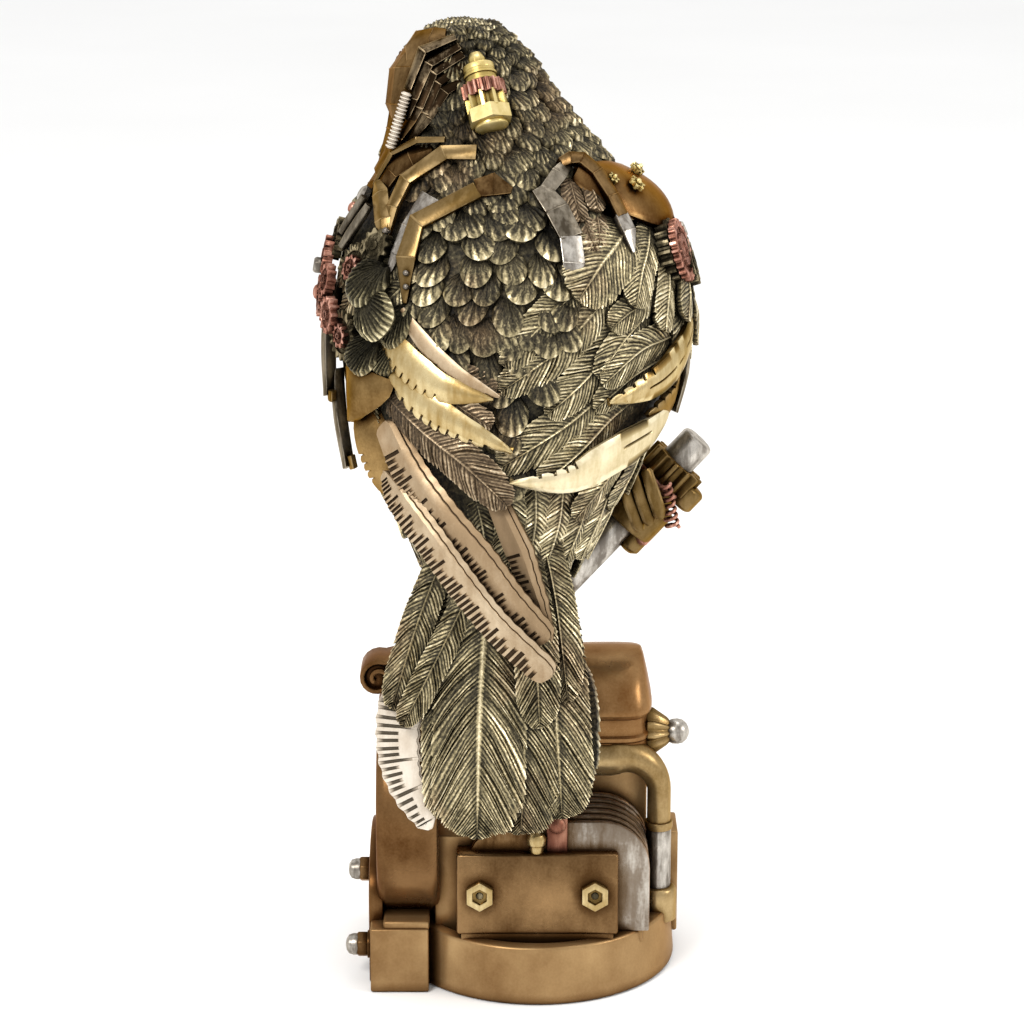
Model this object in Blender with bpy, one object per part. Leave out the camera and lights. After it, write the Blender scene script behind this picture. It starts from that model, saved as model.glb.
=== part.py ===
"""Crow figurine with clockwork plates, perched on a bar that rises from an engine plinth.

Metres, +Z up. The origin is the centre of the plinth's underside. The bird looks along +Y and a
little to its left, its back is towards -Y. The bird is one casting, the bar is a plain round bar
held in its claws and in the plinth's drum, and the plinth is one casting.
"""

import math

import bmesh
import bpy
from mathutils import Vector

# Overall sizes
TOTAL_HEIGHT = 0.270
GAP = 0.0003

# Perch bar
BAR_RADIUS = 0.0049
BAR_SLOPE_DEG = 47.5
BAR_SOCKET_DEPTH = 0.012
BAR_END_ROUND = 0.0012

# Plinth disc
BASE_RADIUS = 0.040
BASE_HEIGHT = 0.0170
BASE_DRAFT = 0.0012
RIM_WIDTH = 0.0040
RIM_DEPTH = 0.0025

# Side block and flange of the plinth
BLOCK_STEP = 0.0026
BLOCK_WIDTH = 0.0165
BLOCK_LENGTH = 0.062
BLOCK_HEIGHT = 0.0192
FLANGE_STEP = 0.0006
FLANGE_THICKNESS = 0.0040
FLANGE_LENGTH = 0.048
FLANGE_HEIGHT = 0.039
BOLT_RADIUS = 0.0033
BOLT_LENGTH = 0.0068

# Drum on its edge
DRUM_OVERHANG = 0.115
DRUM_RADIUS = 0.033
DRUM_WIDTH = 0.0175
DRUM_HEIGHT = 0.047
DRUM_BEVEL = 0.0015
DRUM_RIM = 0.0045
COLLAR_WALL = 0.0028
COLLAR_LENGTH = 0.0050
CURL_RADIUS = 0.0058
CURL_LENGTH = 0.012
CURL_LEAF = 0.0055

# Finned casing, hopper and pipe
FIN_COUNT = 6
FIN_PITCH = 0.0044
FIN_THICKNESS = 0.0027
FIN_GROOVE = 0.0016
FIN_TOP = 0.050
FIN_SHOULDER = 0.014
WEB_TOP = 0.044
WEB_STEP = 0.005
CASE_LEFT = -0.020
CASE_RIGHT = 0.0318
CASE_BACK = -0.027
CASE_FRONT = 0.024
BLOCK_TOP = 0.067
HOPPER_TOP = 0.0912
HOPPER_RIM = 0.0775
HOPPER_WIDTH = 0.026
HOPPER_DEPTH = 0.037
PIPE_RADIUS = 0.0034
PIPE_Y = -0.008
PIPE_TOP = 0.063
PIPE_RIGHT = 0.0350
PIPE_BEND = 0.0100
PIPE_COLLAR_RADIUS = 0.0054
PIPE_COLLAR_HEIGHT = 0.0100
KNOB_RADIUS = 0.0066
KNOB_LENGTH = 0.0050
KNOB_TEETH = 11
KNOB_CAP_RADIUS = 0.0035

# Gauge and rivets on the front
GAUGE_RADIUS = 0.0105
GAUGE_RIM = 0.0018
GAUGE_DEPTH = 0.0032
GAUGE_HEIGHT = 0.047
RIVET_RADIUS = 0.0018

# Nut plate, small plate and bracket
PLATE_WIDTH = 0.0455
PLATE_HEIGHT = 0.0235
PLATE_THICKNESS = 0.0030
PLATE_FOOT = 0.0185
PLATE_LEAN_DEG = 5.0
NUT_RADIUS = 0.0042
NUT_HEIGHT = 0.0026
NUT_SPACING = 0.0324
TAG_WIDTH = 0.0060
TAG_HEIGHT = 0.0135
BRACKET_LENGTH = 0.015
BRACKET_HEIGHT = 0.037
BRACKET_THICKNESS = 0.0042

# The bird is laid out in parts of the whole height, 270 parts to TOTAL_HEIGHT
PARTS = 270
PART = TOTAL_HEIGHT / PARTS

# Body form: height, centre x and y, half width, half depth, all in parts
BODY = (
    (106, -11, -25, 8, 6),
    (116, -11, -21, 15, 12),
    (127, -10.5, -16, 22.5, 18.5),
    (139, -9.5, -11, 29.5, 25),
    (151, -9, -7, 36, 31),
    (164, -8.5, -4, 41, 35),
    (178, -8, -1, 45, 37.5),
    (192, -8, 2, 46.5, 38.5),
    (205, -8, 5, 45, 37),
    (216, -9, 7.5, 41, 33.5),
    (226, -10.8, 9.5, 33.5, 29),
    (234, -12.8, 11, 28.5, 25.5),
    (242, -15.5, 12.5, 24.2, 23),
    (250, -18, 13.5, 21, 20.5),
    (257, -19.8, 14, 18, 17.5),
    (263, -20.8, 14, 13.5, 13.5),
    (267, -21, 14, 8.5, 8.5),
    (269, -21, 14, 3.5, 3.5),
)
HEAD_TURN_DEG = -155
BAR_TOP = (45.2, 8, 151.6)
CROW_SHARE = 0.35
PLINTH_SHARE = 0.8
MEND_ROUNDS = 6


def clear_scene():
    for obj in list(bpy.data.objects):
        bpy.data.objects.remove(obj, do_unlink=True)


def material(name, colour, metallic, roughness):
    mat = bpy.data.materials.new(name)
    mat.use_nodes = True
    shader = mat.node_tree.nodes["Principled BSDF"]
    shader.inputs["Base Color"].default_value = (*colour, 1)
    shader.inputs["Metallic"].default_value = metallic
    shader.inputs["Roughness"].default_value = roughness
    return mat


def closed_mesh(name, vertices, faces, scale=1.0):
    """One closed shape as an object, its faces turned outwards."""
    shape = bmesh.new()
    corners = [shape.verts.new(Vector(v) * scale) for v in vertices]
    for face in faces:
        shape.faces.new([corners[i] for i in face])
    bmesh.ops.recalc_face_normals(shape, faces=shape.faces)
    mesh = bpy.data.meshes.new(name)
    shape.to_mesh(mesh)
    shape.free()
    obj = bpy.data.objects.new(name, mesh)
    bpy.context.scene.collection.objects.link(obj)
    return obj


def loft(name, rings, scale=1.0):
    """A skin through rings of equally many points, closed flat at both ends."""
    count = len(rings[0])
    vertices = [p for ring in rings for p in ring]
    faces = []
    for level in range(len(rings) - 1):
        low = level * count
        for i in range(count):
            j = (i + 1) % count
            faces.append((low + i, low + j, low + count + j, low + count + i))
    faces.append(tuple(range(count)))
    last = (len(rings) - 1) * count
    faces.append(tuple(range(last, last + count)))
    return closed_mesh(name, vertices, faces, scale)


def square_frame(axis):
    """Two directions square to an axis."""
    axis = Vector(axis).normalized()
    helper = Vector((0, 0, 1)) if abs(axis.z) < 0.9 else Vector((1, 0, 0))
    across = axis.cross(helper).normalized()
    return across, axis.cross(across)


def turned(name, start, axis, profile, sides, scale=1.0):
    """A turned shape: profile is (distance along the axis, radius) pairs."""
    start = Vector(start)
    axis = Vector(axis).normalized()
    across, up = square_frame(axis)
    rings = []
    for along, radius in profile:
        centre = start + axis * along
        turn = [2 * math.pi * (k + 0.5) / sides for k in range(sides)]
        rings.append([centre + (across * math.cos(a) + up * math.sin(a)) * radius for a in turn])
    return loft(name, rings, scale)


def cog(name, start, axis, outer, root, teeth, thickness, scale=1.0):
    """A spur cog whose teeth are plain trapezoids."""
    start = Vector(start)
    axis = Vector(axis).normalized()
    across, up = square_frame(axis)
    outline = []
    for tooth in range(teeth):
        for share, radius in ((0.0, root), (0.4, outer), (0.8, outer)):
            angle = 2 * math.pi * (tooth + share) / teeth
            outline.append((across * math.cos(angle) + up * math.sin(angle)) * radius)
    rings = [[start + axis * along + p for p in outline] for along in (0, thickness)]
    return loft(name, rings, scale)


def box(name, low, high):
    rings = []
    for z in (low[2], high[2]):
        rings.append([(low[0], low[1], z), (high[0], low[1], z), (high[0], high[1], z),
                (low[0], high[1], z)])
    return loft(name, rings)


def body_ring(z):
    """Centre and half sizes of the body at a height, smooth between the given heights."""
    z = min(max(z, BODY[0][0]), BODY[-1][0])
    i = 0
    while i < len(BODY) - 2 and z > BODY[i + 1][0]:
        i += 1

    def slope(k, column):
        low, high = max(k - 1, 0), min(k + 1, len(BODY) - 1)
        return (BODY[high][column] - BODY[low][column]) / (BODY[high][0] - BODY[low][0])

    step = BODY[i + 1][0] - BODY[i][0]
    t = (z - BODY[i][0]) / step
    values = []
    for column in range(1, 5):
        start, end = BODY[i][column], BODY[i + 1][column]
        values.append(
            (2 * t**3 - 3 * t**2 + 1) * start
            + (t**3 - 2 * t**2 + t) * step * slope(i, column)
            + (3 * t**2 - 2 * t**3) * end
            + (t**3 - t**2) * step * slope(i + 1, column)
        )
    return values


def skin_point(deg, z):
    """A point of the body's surface; 0 degrees is the middle of the back, 90 the bird's right."""
    x, y, wide, deep = body_ring(z)
    turn = math.radians(deg)
    return Vector((x + wide * math.sin(turn), y - deep * math.cos(turn), z))


def skin_normal(deg, z):
    around = skin_point(deg + 0.5, z) - skin_point(deg - 0.5, z)
    low, high = max(z - 0.3, BODY[0][0]), min(z + 0.3, BODY[-1][0])
    upward = skin_point(deg, high) - skin_point(deg, low)
    return around.cross(upward).normalized()


def curve(points, t):
    """A smooth curve through points of any width, t from 0 to 1."""
    if len(points) == 2:
        return [a + (b - a) * t for a, b in zip(*points)]
    place = t * (len(points) - 1)
    i = min(int(place), len(points) - 2)
    u = place - i
    p0, p1 = points[max(i - 1, 0)], points[i]
    p2, p3 = points[i + 1], points[min(i + 2, len(points) - 1)]
    return [
        0.5 * (2 * b + (c - a) * u + (2 * a - 5 * b + 4 * c - d) * u**2 + (3 * b - a - 3 * c + d) * u**3)
        for a, b, c, d in zip(p0, p1, p2, p3)
    ]


def skin_frames(path, stations):
    """Point, normal and side direction at stations along a path of (degrees, height)."""
    frames = []
    for t in stations:
        deg, z = curve(path, t)
        before = curve(path, max(t - 0.02, 0))
        after = curve(path, min(t + 0.02, 1))
        along = (skin_point(*after) - skin_point(*before)).normalized()
        normal = skin_normal(deg, z)
        frames.append((skin_point(deg, z), normal, normal.cross(along).normalized()))
    return frames


def free_frames(path, stations, facing):
    """The same for a path of (x, y, z) that leaves the body, its face turned towards facing."""
    frames = []
    for t in stations:
        before = Vector(curve(path, max(t - 0.02, 0)))
        after = Vector(curve(path, min(t + 0.02, 1)))
        along = (after - before).normalized()
        normal = (Vector(facing) - along * along.dot(Vector(facing))).normalized()
        frames.append((Vector(curve(path, t)), normal, normal.cross(along).normalized()))
    return frames


def plate(name, frames, widths, lifts, crown, depth):
    """A plate along frames: widths are (side, other side) halves and lifts the edge's height."""
    rings = []
    for (point, normal, side), (plus, minus), lift in zip(frames, widths, lifts):
        edge_plus = point + side * plus + normal * lift
        edge_minus = point - side * minus + normal * lift
        ridge = point + normal * (lift + crown)
        down = normal * depth
        inset = side * (plus + minus) * 0.15
        rings.append([edge_plus, ridge, edge_minus, edge_minus - down + inset, edge_plus - down - inset])
    return loft(name, rings, PART)


def spread(values, stations):
    """Values given at even steps, read at the stations."""
    read = []
    for t in stations:
        place = t * (len(values) - 1)
        i = min(int(place), len(values) - 2)
        read.append(values[i] + (values[i + 1] - values[i]) * (place - i))
    return read


LEAF_STATIONS = (0, 0.3, 0.65, 0.9, 1)
LEAF_WIDTHS = (0.62, 0.95, 1.0, 0.68, 0.2)


def feather(name, path, width, lifts=(1.0, 2.4), crown=0.9, depth=4.5, facing=None):
    """A large feather with a rounded end and a raised shaft."""
    if facing:
        frames = free_frames(path, LEAF_STATIONS, facing)
    else:
        frames = skin_frames(path, LEAF_STATIONS)
    halves = [(w * width / 2, w * width / 2) for w in LEAF_WIDTHS]
    return plate(name, frames, halves, spread(lifts, LEAF_STATIONS), crown, depth)


def blade(name, path, widths, lifts, teeth=0, bite=1.3, toothed=(0.1, 0.9), depth=4.0, facing=None,
          crown=0.25, steps=8):
    """A pointed blade; teeth are cut into one edge over the toothed share of its length."""
    stations = [(k / steps, 0) for k in range(steps + 1)]
    if teeth:
        start, end = toothed
        stations = [s for s in stations if s[0] < start - 0.02 or s[0] > end + 0.02]
        for k in range(teeth):
            pitch = (end - start) / teeth
            stations += [(start + pitch * k, bite), (start + pitch * (k + 0.25), 0)]
        stations.sort()
    places = [s[0] for s in stations]
    frames = free_frames(path, places, facing) if facing else skin_frames(path, places)
    halves = spread(widths, places)
    sides = [(w / 2, max(w / 2 - cut, 0.3)) for w, (_, cut) in zip(halves, stations)]
    return plate(name, frames, sides, spread(lifts, places), crown, depth)


def band(name, path, widths, lifts, depth=4.0, crown=0.0):
    """A strap bent at each point of its path, flat between the bends."""
    stations = [k / (len(path) - 1) for k in range(len(path))]
    frames = skin_frames(path, stations)
    return plate(name, frames, [(w / 2, w / 2) for w in widths], lifts, crown, depth)


# Outline of a round feather: share of half width, share of length, lift
SCALE_OUTLINE = ((0.55, 0.05, -0.3), (1.0, 0.5, 0.5), (0.6, 0.9, 1.2), (0.0, 1.0, 1.4))


def scale_feather(name, deg, z, width, length, depth=3.0):
    """A short round feather that points down the body, with one point under it."""
    point = skin_point(deg, z)
    normal = skin_normal(deg, z)
    side = Vector((0, 0, 1)).cross(normal).normalized()
    along = side.cross(normal).normalized()
    if along.z > 0:
        along = -along
    mirrored = SCALE_OUTLINE + tuple((-w, t, lift) for w, t, lift in SCALE_OUTLINE[-2::-1])
    outline = [point + side * w * width / 2 + along * length * t + normal * lift for w, t, lift in mirrored]
    count = len(outline)
    ridge = point + along * length * 0.62 + normal * 1.9
    keel = point + along * length * 0.55 - normal * depth
    faces = [(i, (i + 1) % count, count) for i in range(count)]
    faces += [((i + 1) % count, i, count + 1) for i in range(count)]
    return closed_mesh(name, outline + [ridge, keel], faces, PART)


# Rows of round feathers: top and bottom heights, degrees at the top and at the bottom, width, pitch
FEATHER_ROWS = (
    (264, 243, (-6, 180), (-14, 175), 8.6, 7.0),
    (238, 226, (-34, 205), (-26, 215), 10.0, 7.6),
    (220, 204, (-24, 19), (-24, 15), 9.6, 7.4),
    (196, 174, (-24, 13), (-9, -4), 9.6, 7.4),
    (222, 134, (122, 240), (126, 232), 16.0, 12.5),
)


def body_feathers():
    made = []
    for block, (top, bottom, at_top, at_bottom, width, pitch) in enumerate(FEATHER_ROWS):
        rows = max(int((top - bottom) / pitch), 1)
        for row in range(rows + 1):
            share = row / rows
            z = top + (bottom - top) * share
            low = at_top[0] + (at_bottom[0] - at_top[0]) * share
            high = at_top[1] + (at_bottom[1] - at_top[1]) * share
            x, y, wide, deep = body_ring(z)
            radius = (wide + deep) / 2
            step = math.degrees(width * 0.93 / radius)
            count = max(int((high - low) / step), 1)
            step = (high - low) / count
            for k in range(count + (row % 2 == 0)):
                deg = low + step * (k + (0.0 if row % 2 == 0 else 0.5))
                made.append(scale_feather(f"scale_{block}_{row}_{k}", deg, z, width, pitch * 1.75))
    return made


def left_wing():
    """Clockwork wing: bent straps, cogs, saw blades and two long rulers."""
    return [
        band("strap_a", [(-7.7, 237), (-22, 236.5), (-43.5, 228.5), (-47, 221), (-46, 213)],
            (4.2, 4.2, 3.6, 3.2, 1.2), (3.2, 3.6, 3.6, 3.2, 2.6)),
        band("strap_a_rim", [(-21, 239.5), (-38, 239), (-55, 234), (-65, 225.5)], (2, 2, 2, 1.6),
            (3.6, 4, 4, 3)),
        band("teardrop", [(-66, 231), (-59, 226), (-50, 219), (-47, 214)], (4, 8.5, 6, 1.5),
            (2.4, 3, 3, 2.4)),
        band("strap_b_root", [(4, 227.5), (-9, 226.6)], (5.5, 4.4), (2.6, 3.4)),
        band("strap_b", [(-7.8, 226.4), (-21, 221.5), (-31.6, 215.9), (-34.6, 208.5), (-34, 199)],
            (4.6, 4.6, 4.8, 5.2, 2.6), (3.6, 3.8, 3.8, 3.4, 2.6)),
        band("bright_strip", [(-35.8, 224.5), (-39.5, 216.8), (-41.3, 211), (-43.5, 206)],
            (6, 3.8, 3.2, 2), (2.4,) * 4),
        band("shoulder_shell", [(-88, 231), (-87, 224), (-88, 215), (-90, 205)], (9, 15, 16, 9),
            (0.9, 2.2, 2.6, 1.6), 6, 1.2),
        blade("edge_plate", [(-84, 199), (-86, 185), (-85, 170)], (9, 10, 9, 5), (3.6, 6.0, 7.8),
            depth=8, steps=5),
        blade("gold_plate", [(-56, 180), (-64, 172), (-78, 161)], (10, 13, 10, 3), (2.6, 3.6, 4.4),
            depth=6, steps=5),
        blade("lower_edge_plate", [(-86, 174), (-85, 164), (-82, 153)], (7, 8, 8, 5), (3.4, 6.2, 8.2),
            depth=8, steps=4),
        blade("round_blade", [(-66, 168), (-72, 158), (-78, 149), (-68, 142.5)], (4, 7, 8, 8, 3),
            (3.0, 5, 6.4, 5.2), 4, 0.9, (0.35, 0.8), 6),
        blade("saw_blade_upper", [(-43, 191), (-33.4, 184), (-21, 178.5), (-5, 176)],
            (5, 8, 8.2, 6, 0.8), (2.4, 3.6, 4.4, 4.6), 6, 1.4, (0.08, 0.72), 6),
        blade("pale_blade", [(-36, 196), (-25, 188), (-15, 182), (-3.5, 177)], (2, 4, 4, 3, 0.8),
            (2.6, 3.2, 4.4, 4.6), depth=6),
        blade("saw_blade_lower", [(-41, 180), (-27, 173), (-14.7, 168.5), (1.5, 162.5)],
            (5, 7.4, 7.4, 5.4, 0.8), (2.4, 4, 4.8, 5), 7, 1.4, (0.1, 0.85), 6),
        feather("brown_blade", [(-43, 171), (-31, 163.5), (-16, 156), (1, 148)], 10.5, (1.6, 3.4, 5),
            depth=6),
        blade("ruler_back", [(-13.5, -36, 151), (-6.5, -41.5, 138), (-1.5, -43, 124),
            (3.4, -44.5, 111)], (6, 8, 7.6, 6, 1), (0, 0, 0), depth=3.4, facing=(-0.15, -1, 0.25),
            steps=6),
        blade("ruler_upper", [(-41, -29, 166), (-34.6, -34.5, 154.5), (-26, -40.5, 143.5),
            (-16, -44.5, 132.5), (-7.5, -46, 121.5), (2, -46.5, 111)], (7, 8.6, 8.8, 8.6, 8, 6.6, 2),
            (0, 0, 0), depth=3.4, facing=(-0.35, -1, 0.3), steps=9),
        blade("ruler_lower", [(-41.3, -29.5, 152), (-36.3, -36, 146), (-28.2, -42.5, 136.5),
            (-19.5, -46, 125), (-10, -47.5, 113.5), (2.4, -48.5, 101.5)], (3, 7.6, 8.6, 8.6, 8.4, 7.6,
            2.4), (0, 0, 0), depth=2.8, facing=(-0.35, -1, 0.25), steps=9),
        feather("left_round_a", [(-42, 209), (-53, 201.5), (-63, 193.5)], 9.5, (1.4, 3.6)),
        feather("left_round_b", [(-36, 205), (-43.9, 196.3), (-48, 188)], 11, (1.4, 3.2)),
        feather("left_round_c", [(-48, 189), (-61, 180)], 7, (1.4, 3.2)),
        feather("left_cover_a", [(-36, 199), (-33, 190), (-27, 182)], 8, (0.8, 2)),
        feather("left_side_a", [(-104, 212), (-108, 196), (-110, 180)], 15, (0.8, 2.8)),
        feather("left_side_b", [(-100, 190), (-106, 174), (-108, 158)], 14, (0.8, 2.8)),
        feather("left_side_c", [(-92, 168), (-98, 154), (-100, 141)], 12, (0.8, 2.6)),
        feather("left_side_d", [(-72, 152), (-72, 142), (-62, 131)], 10, (0.8, 2.4)),
    ]


def right_wing():
    """Feathered wing under a riveted shoulder shell, with two curved saw blades."""
    return [
        band("strap_c", [(26, 231), (22.3, 224.3), (23.4, 215), (21.5, 209), (20, 204)],
            (4, 5.2, 5.4, 5.4, 1.4), (3, 3.6, 3.6, 3.2, 2.4)),
        band("dome_shell", [(42, 228), (52, 225), (66, 222.5), (84, 220), (104, 219), (118, 221)],
            (8, 14, 18, 19, 17, 10), (1.6, 2.6, 3.8, 4.6, 3.6, 2), 8, 2.4),
        band("dome_tip", [(52, 219), (49, 210)], (4, 1.2), (4.6, 3.4)),
        feather("under_dome_a", [(40, 226), (33, 219), (28, 213)], 8, (1.6, 2.6)),
        feather("under_dome_b", [(46, 221), (42, 214)], 7, (2, 3)),
        feather("right_round_a", [(48, 219), (32, 209), (22.5, 201.5)], 17, (2, 3.8)),
        feather("right_round_b", [(62, 214), (52, 205), (44, 197)], 11, (1.6, 3.4)),
        feather("right_round_c", [(68, 206), (62, 197), (58, 189)], 10, (1.6, 3.4)),
        feather("right_round_d", [(56, 200), (44, 196.5), (33, 192)], 9, (1.2, 2.6)),
        feather("right_round_e", [(76, 200), (74, 190), (68, 181)], 10, (1.6, 3.2)),
        feather("sweep_a", [(26, 206), (11.5, 195.5), (-2, 184)], 11, (1.2, 2.8)),
        feather("sweep_b", [(38, 201), (18, 189.5), (-3, 177)], 12, (0.8, 2.6)),
        feather("sweep_c", [(42, 193), (27, 182), (13, 171)], 12, (0.8, 2.6)),
        feather("sweep_d", [(34, 177), (19, 168), (-3, 157)], 13, (0.6, 2.2)),
        feather("cover_a", [(70, 190), (48, 187), (31, 178)], 10, (1.4, 3)),
        feather("cover_b", [(50, 195), (40, 189), (29, 181)], 9, (1.2, 2.6)),
        blade("curved_blade_upper", [(84, 188), (68, 180.5), (50, 174), (33.5, 173.6)],
            (3, 8.2, 9, 6.8, 1), (3, 4, 4.4, 4), 4, 1.4, (0.62, 0.94), 7),
        blade("curved_blade_under", [(84, 174), (75, 166), (60, 163)], (4, 8, 7, 2), (2.4, 3.4, 3), 5,
            0.9, (0.4, 0.95), 7),
        blade("curved_blade_lower", [(60, 167), (42, 160), (26, 154), (2, 155)],
            (5, 9.5, 10.4, 7, 0.8), (3.6, 4.8, 5, 4.6), 4, 1.8, (0.6, 0.92), 8),
        blade("grey_edge_plate", [(90, 187), (90, 178), (88, 168)], (6, 8, 7, 5), (3.2, 5, 5.8),
            depth=7, steps=3),
        band("pale_plate", [(82, 201), (88, 193)], (8, 6), (4.2, 4.8), 5),
        feather("edge_feather", [(92, 200), (92, 193), (90, 184)], 10, (3.6, 6.2)),
        feather("right_side_a", [(104, 206), (108, 192), (110, 176)], 15, (1.4, 4.0)),
        feather("right_side_b", [(98, 188), (104, 172), (106, 157)], 14, (0.8, 2.8)),
        feather("right_side_c", [(92, 168), (94, 154), (92, 142)], 12, (0.8, 2.6)),
    ]


def lower_feathers():
    """Upright feathers of the rump and the thighs."""
    made = []
    for k, (deg, top, length) in enumerate(((4, 154, 26), (16, 153, 28), (29, 152, 26), (43, 152, 24),
            (58, 152, 22), (-8, 146, 26), (74, 150, 22))):
        made.append(feather(f"rump_{k}", [(deg, top), (deg + 1, top - length)], 9.5, (0.6, 2.2), 0.7, 4))
    for k, deg in enumerate(range(100, 261, 23)):
        made.append(feather(f"thigh_{k}", [(deg, 143), (deg, 121)], 10, (0.6, 2), 0.7, 4))
    return made


def cog_cluster():
    """Cogs let into both shoulders, each square to the skin where it sits."""
    made = []
    places = (
        ("left_1", -50.6, 211.5, 4.6, 9, 1.2, 2.2),
        ("left_2", -61, 204.5, 6.0, 12, 1.0, 2.4),
        ("left_3", -88, 204.5, 4.8, 9, 3.4, 2.2),
        ("left_4", -63, 187.5, 6.2, 12, 1.6, 2.4),
        ("left_5", -86, 194, 5.6, 11, 2.8, 2.4),
        ("right_1", 85, 208.5, 9.0, 14, 1.4, 3.2),
        ("right_2", 90, 204.5, 5.6, 10, 4.0, 2.4),
    )
    for name, deg, z, radius, teeth, lift, thickness in places:
        normal = skin_normal(deg, z)
        start = skin_point(deg, z) + normal * (lift - 2.5)
        made.append(cog(f"cog_{name}", start, normal, radius, radius * 0.82, teeth, thickness + 2.5, PART))
    for name, deg, z, lift in (("left_up", -88, 202, 6.8), ("left_low", -87, 196, 6.2),
            ("right", 88, 212, 5.4)):
        normal = skin_normal(deg, z)
        start = skin_point(deg, z) - normal
        made.append(turned(f"bolt_{name}", start, normal, ((0, 2.1), (lift + 0.6, 2.1),
                (lift + 1.4, 1.4)), 6, PART))
    for k, (first, last) in enumerate((((-57.5, 221.5), (-69.5, 211.5)), ((-61, 223), (-73, 213)))):
        start = skin_point(*first) + skin_normal(*first) * 2.6
        end = skin_point(*last) + skin_normal(*last) * 3.4
        made.append(turned(f"tube_{k}", start, end - start, ((0, 1.3), ((end - start).length, 1.3)), 6,
                PART))
    return made


def head_parts():
    """Beak, brow plates, louvres, eyes and the nut stack on the nape."""
    turn = math.radians(HEAD_TURN_DEG)
    ahead = Vector((math.sin(turn), -math.cos(turn), 0))
    across = Vector((math.cos(turn), math.sin(turn), 0))
    centre = Vector((-19, 14, 252))
    beak = []
    for along, drop, half, high, low in ((12, 0, 9.5, 7, 8), (22, 0.5, 6.6, 5.4, 6),
            (33, 2, 4.4, 3.8, 4), (42, 5, 2.4, 2.2, 2.4), (47.5, 9, 0.7, 0.8, 0.9)):
        middle = centre + ahead * along - Vector((0, 0, drop))
        ring = [middle + Vector((0, 0, high)), middle + across * half * 0.7 + Vector((0, 0, high * 0.6)),
                middle + across * half, middle + across * half * 0.7 - Vector((0, 0, low * 0.7)),
                middle - Vector((0, 0, low)), middle - across * half * 0.7 - Vector((0, 0, low * 0.7)),
                middle - across * half, middle - across * half * 0.7 + Vector((0, 0, high * 0.6))]
        beak.append(ring)
    made = [loft("beak", beak, PART)]
    for name, side, radius in (("left", 1, 6.2), ("right", -1, 4.2)):
        deg = HEAD_TURN_DEG + side * 47
        normal = skin_normal(deg, 254)
        start = skin_point(deg, 254) - normal * 2
        rings = ((0, radius), (3.4, radius), (3.8, radius * 0.84), (3.0, radius * 0.7),
                (3.8, radius * 0.35))
        made.append(turned(f"eye_{name}", start, normal, rings, 12, PART))
    made += [
        band("brow_plate", [(-34, 263.5), (-58, 262), (-80, 257), (-92, 249)], (7, 12, 13, 6),
            (0.8, 1.4, 1.7, 1.4), 5, 0.6),
        band("cheek_plate", [(-50, 252), (-57, 245), (-68, 237), (-76, 229)], (6, 7, 8, 9),
            (1.2, 1.6, 2.0, 2.0), 5, 0.4),
        band("jaw_plate", [(-86, 248), (-86, 240), (-88, 231)], (9, 10, 9), (1.2, 1.6, 1.4), 5, 0.4),
        band("neck_strip", [(-36, 253), (-44, 244), (-52, 237)], (3, 4, 4), (1.6, 2, 2.4), 4),
    ]
    for k in range(4):
        z = 260.5 - 3.0 * k
        made.append(band(f"louvre_{k}", [(-8 - 2 * k, z), (-26 - 2 * k, z - 1.2), (-42, z - 4)],
                (1.6, 1.9, 1.6), (1.8, 2.4, 1.8), 4))
    start = skin_point(-50, 250.5) + skin_normal(-50, 250.5) * 2.4
    end = skin_point(-62, 235.5) + skin_normal(-62, 235.5) * 3.2
    length = (end - start).length
    ribs = []
    for k in range(10):
        ribs.append((length * k / 9, 1.6 if k % 2 else 1.2))
    made.append(turned("screw", start, end - start, ribs, 6, PART))
    top = skin_point(12.4, 261) + skin_normal(12.4, 261) * 0.8
    foot = skin_point(7, 242.5) + skin_normal(7, 242.5) * 2.2
    reach = (foot - top).length
    stack = ((0, 1.6), (0.1, 2.4), (0.2, 2.0), (0.22, 3.8), (0.34, 4.2), (0.36, 3.6), (0.42, 4.8),
            (0.5, 4.8), (0.7, 4.4))
    made.append(turned("nape_stack", top, foot - top, [(s * reach, r) for s, r in stack], 12, PART))
    made.append(cog("nape_cog", top + (foot - top) * 0.52, foot - top, 5.6, 4.9, 12, reach * 0.12, PART))
    made.append(turned("nape_nut", top + (foot - top) * 0.7, foot - top,
            ((0, 5.8), (reach * 0.16, 5.8), (reach * 0.24, 3.4)), 6, PART))
    return made


TAIL_FACING = (-0.05, -1, 0.28)


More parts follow.
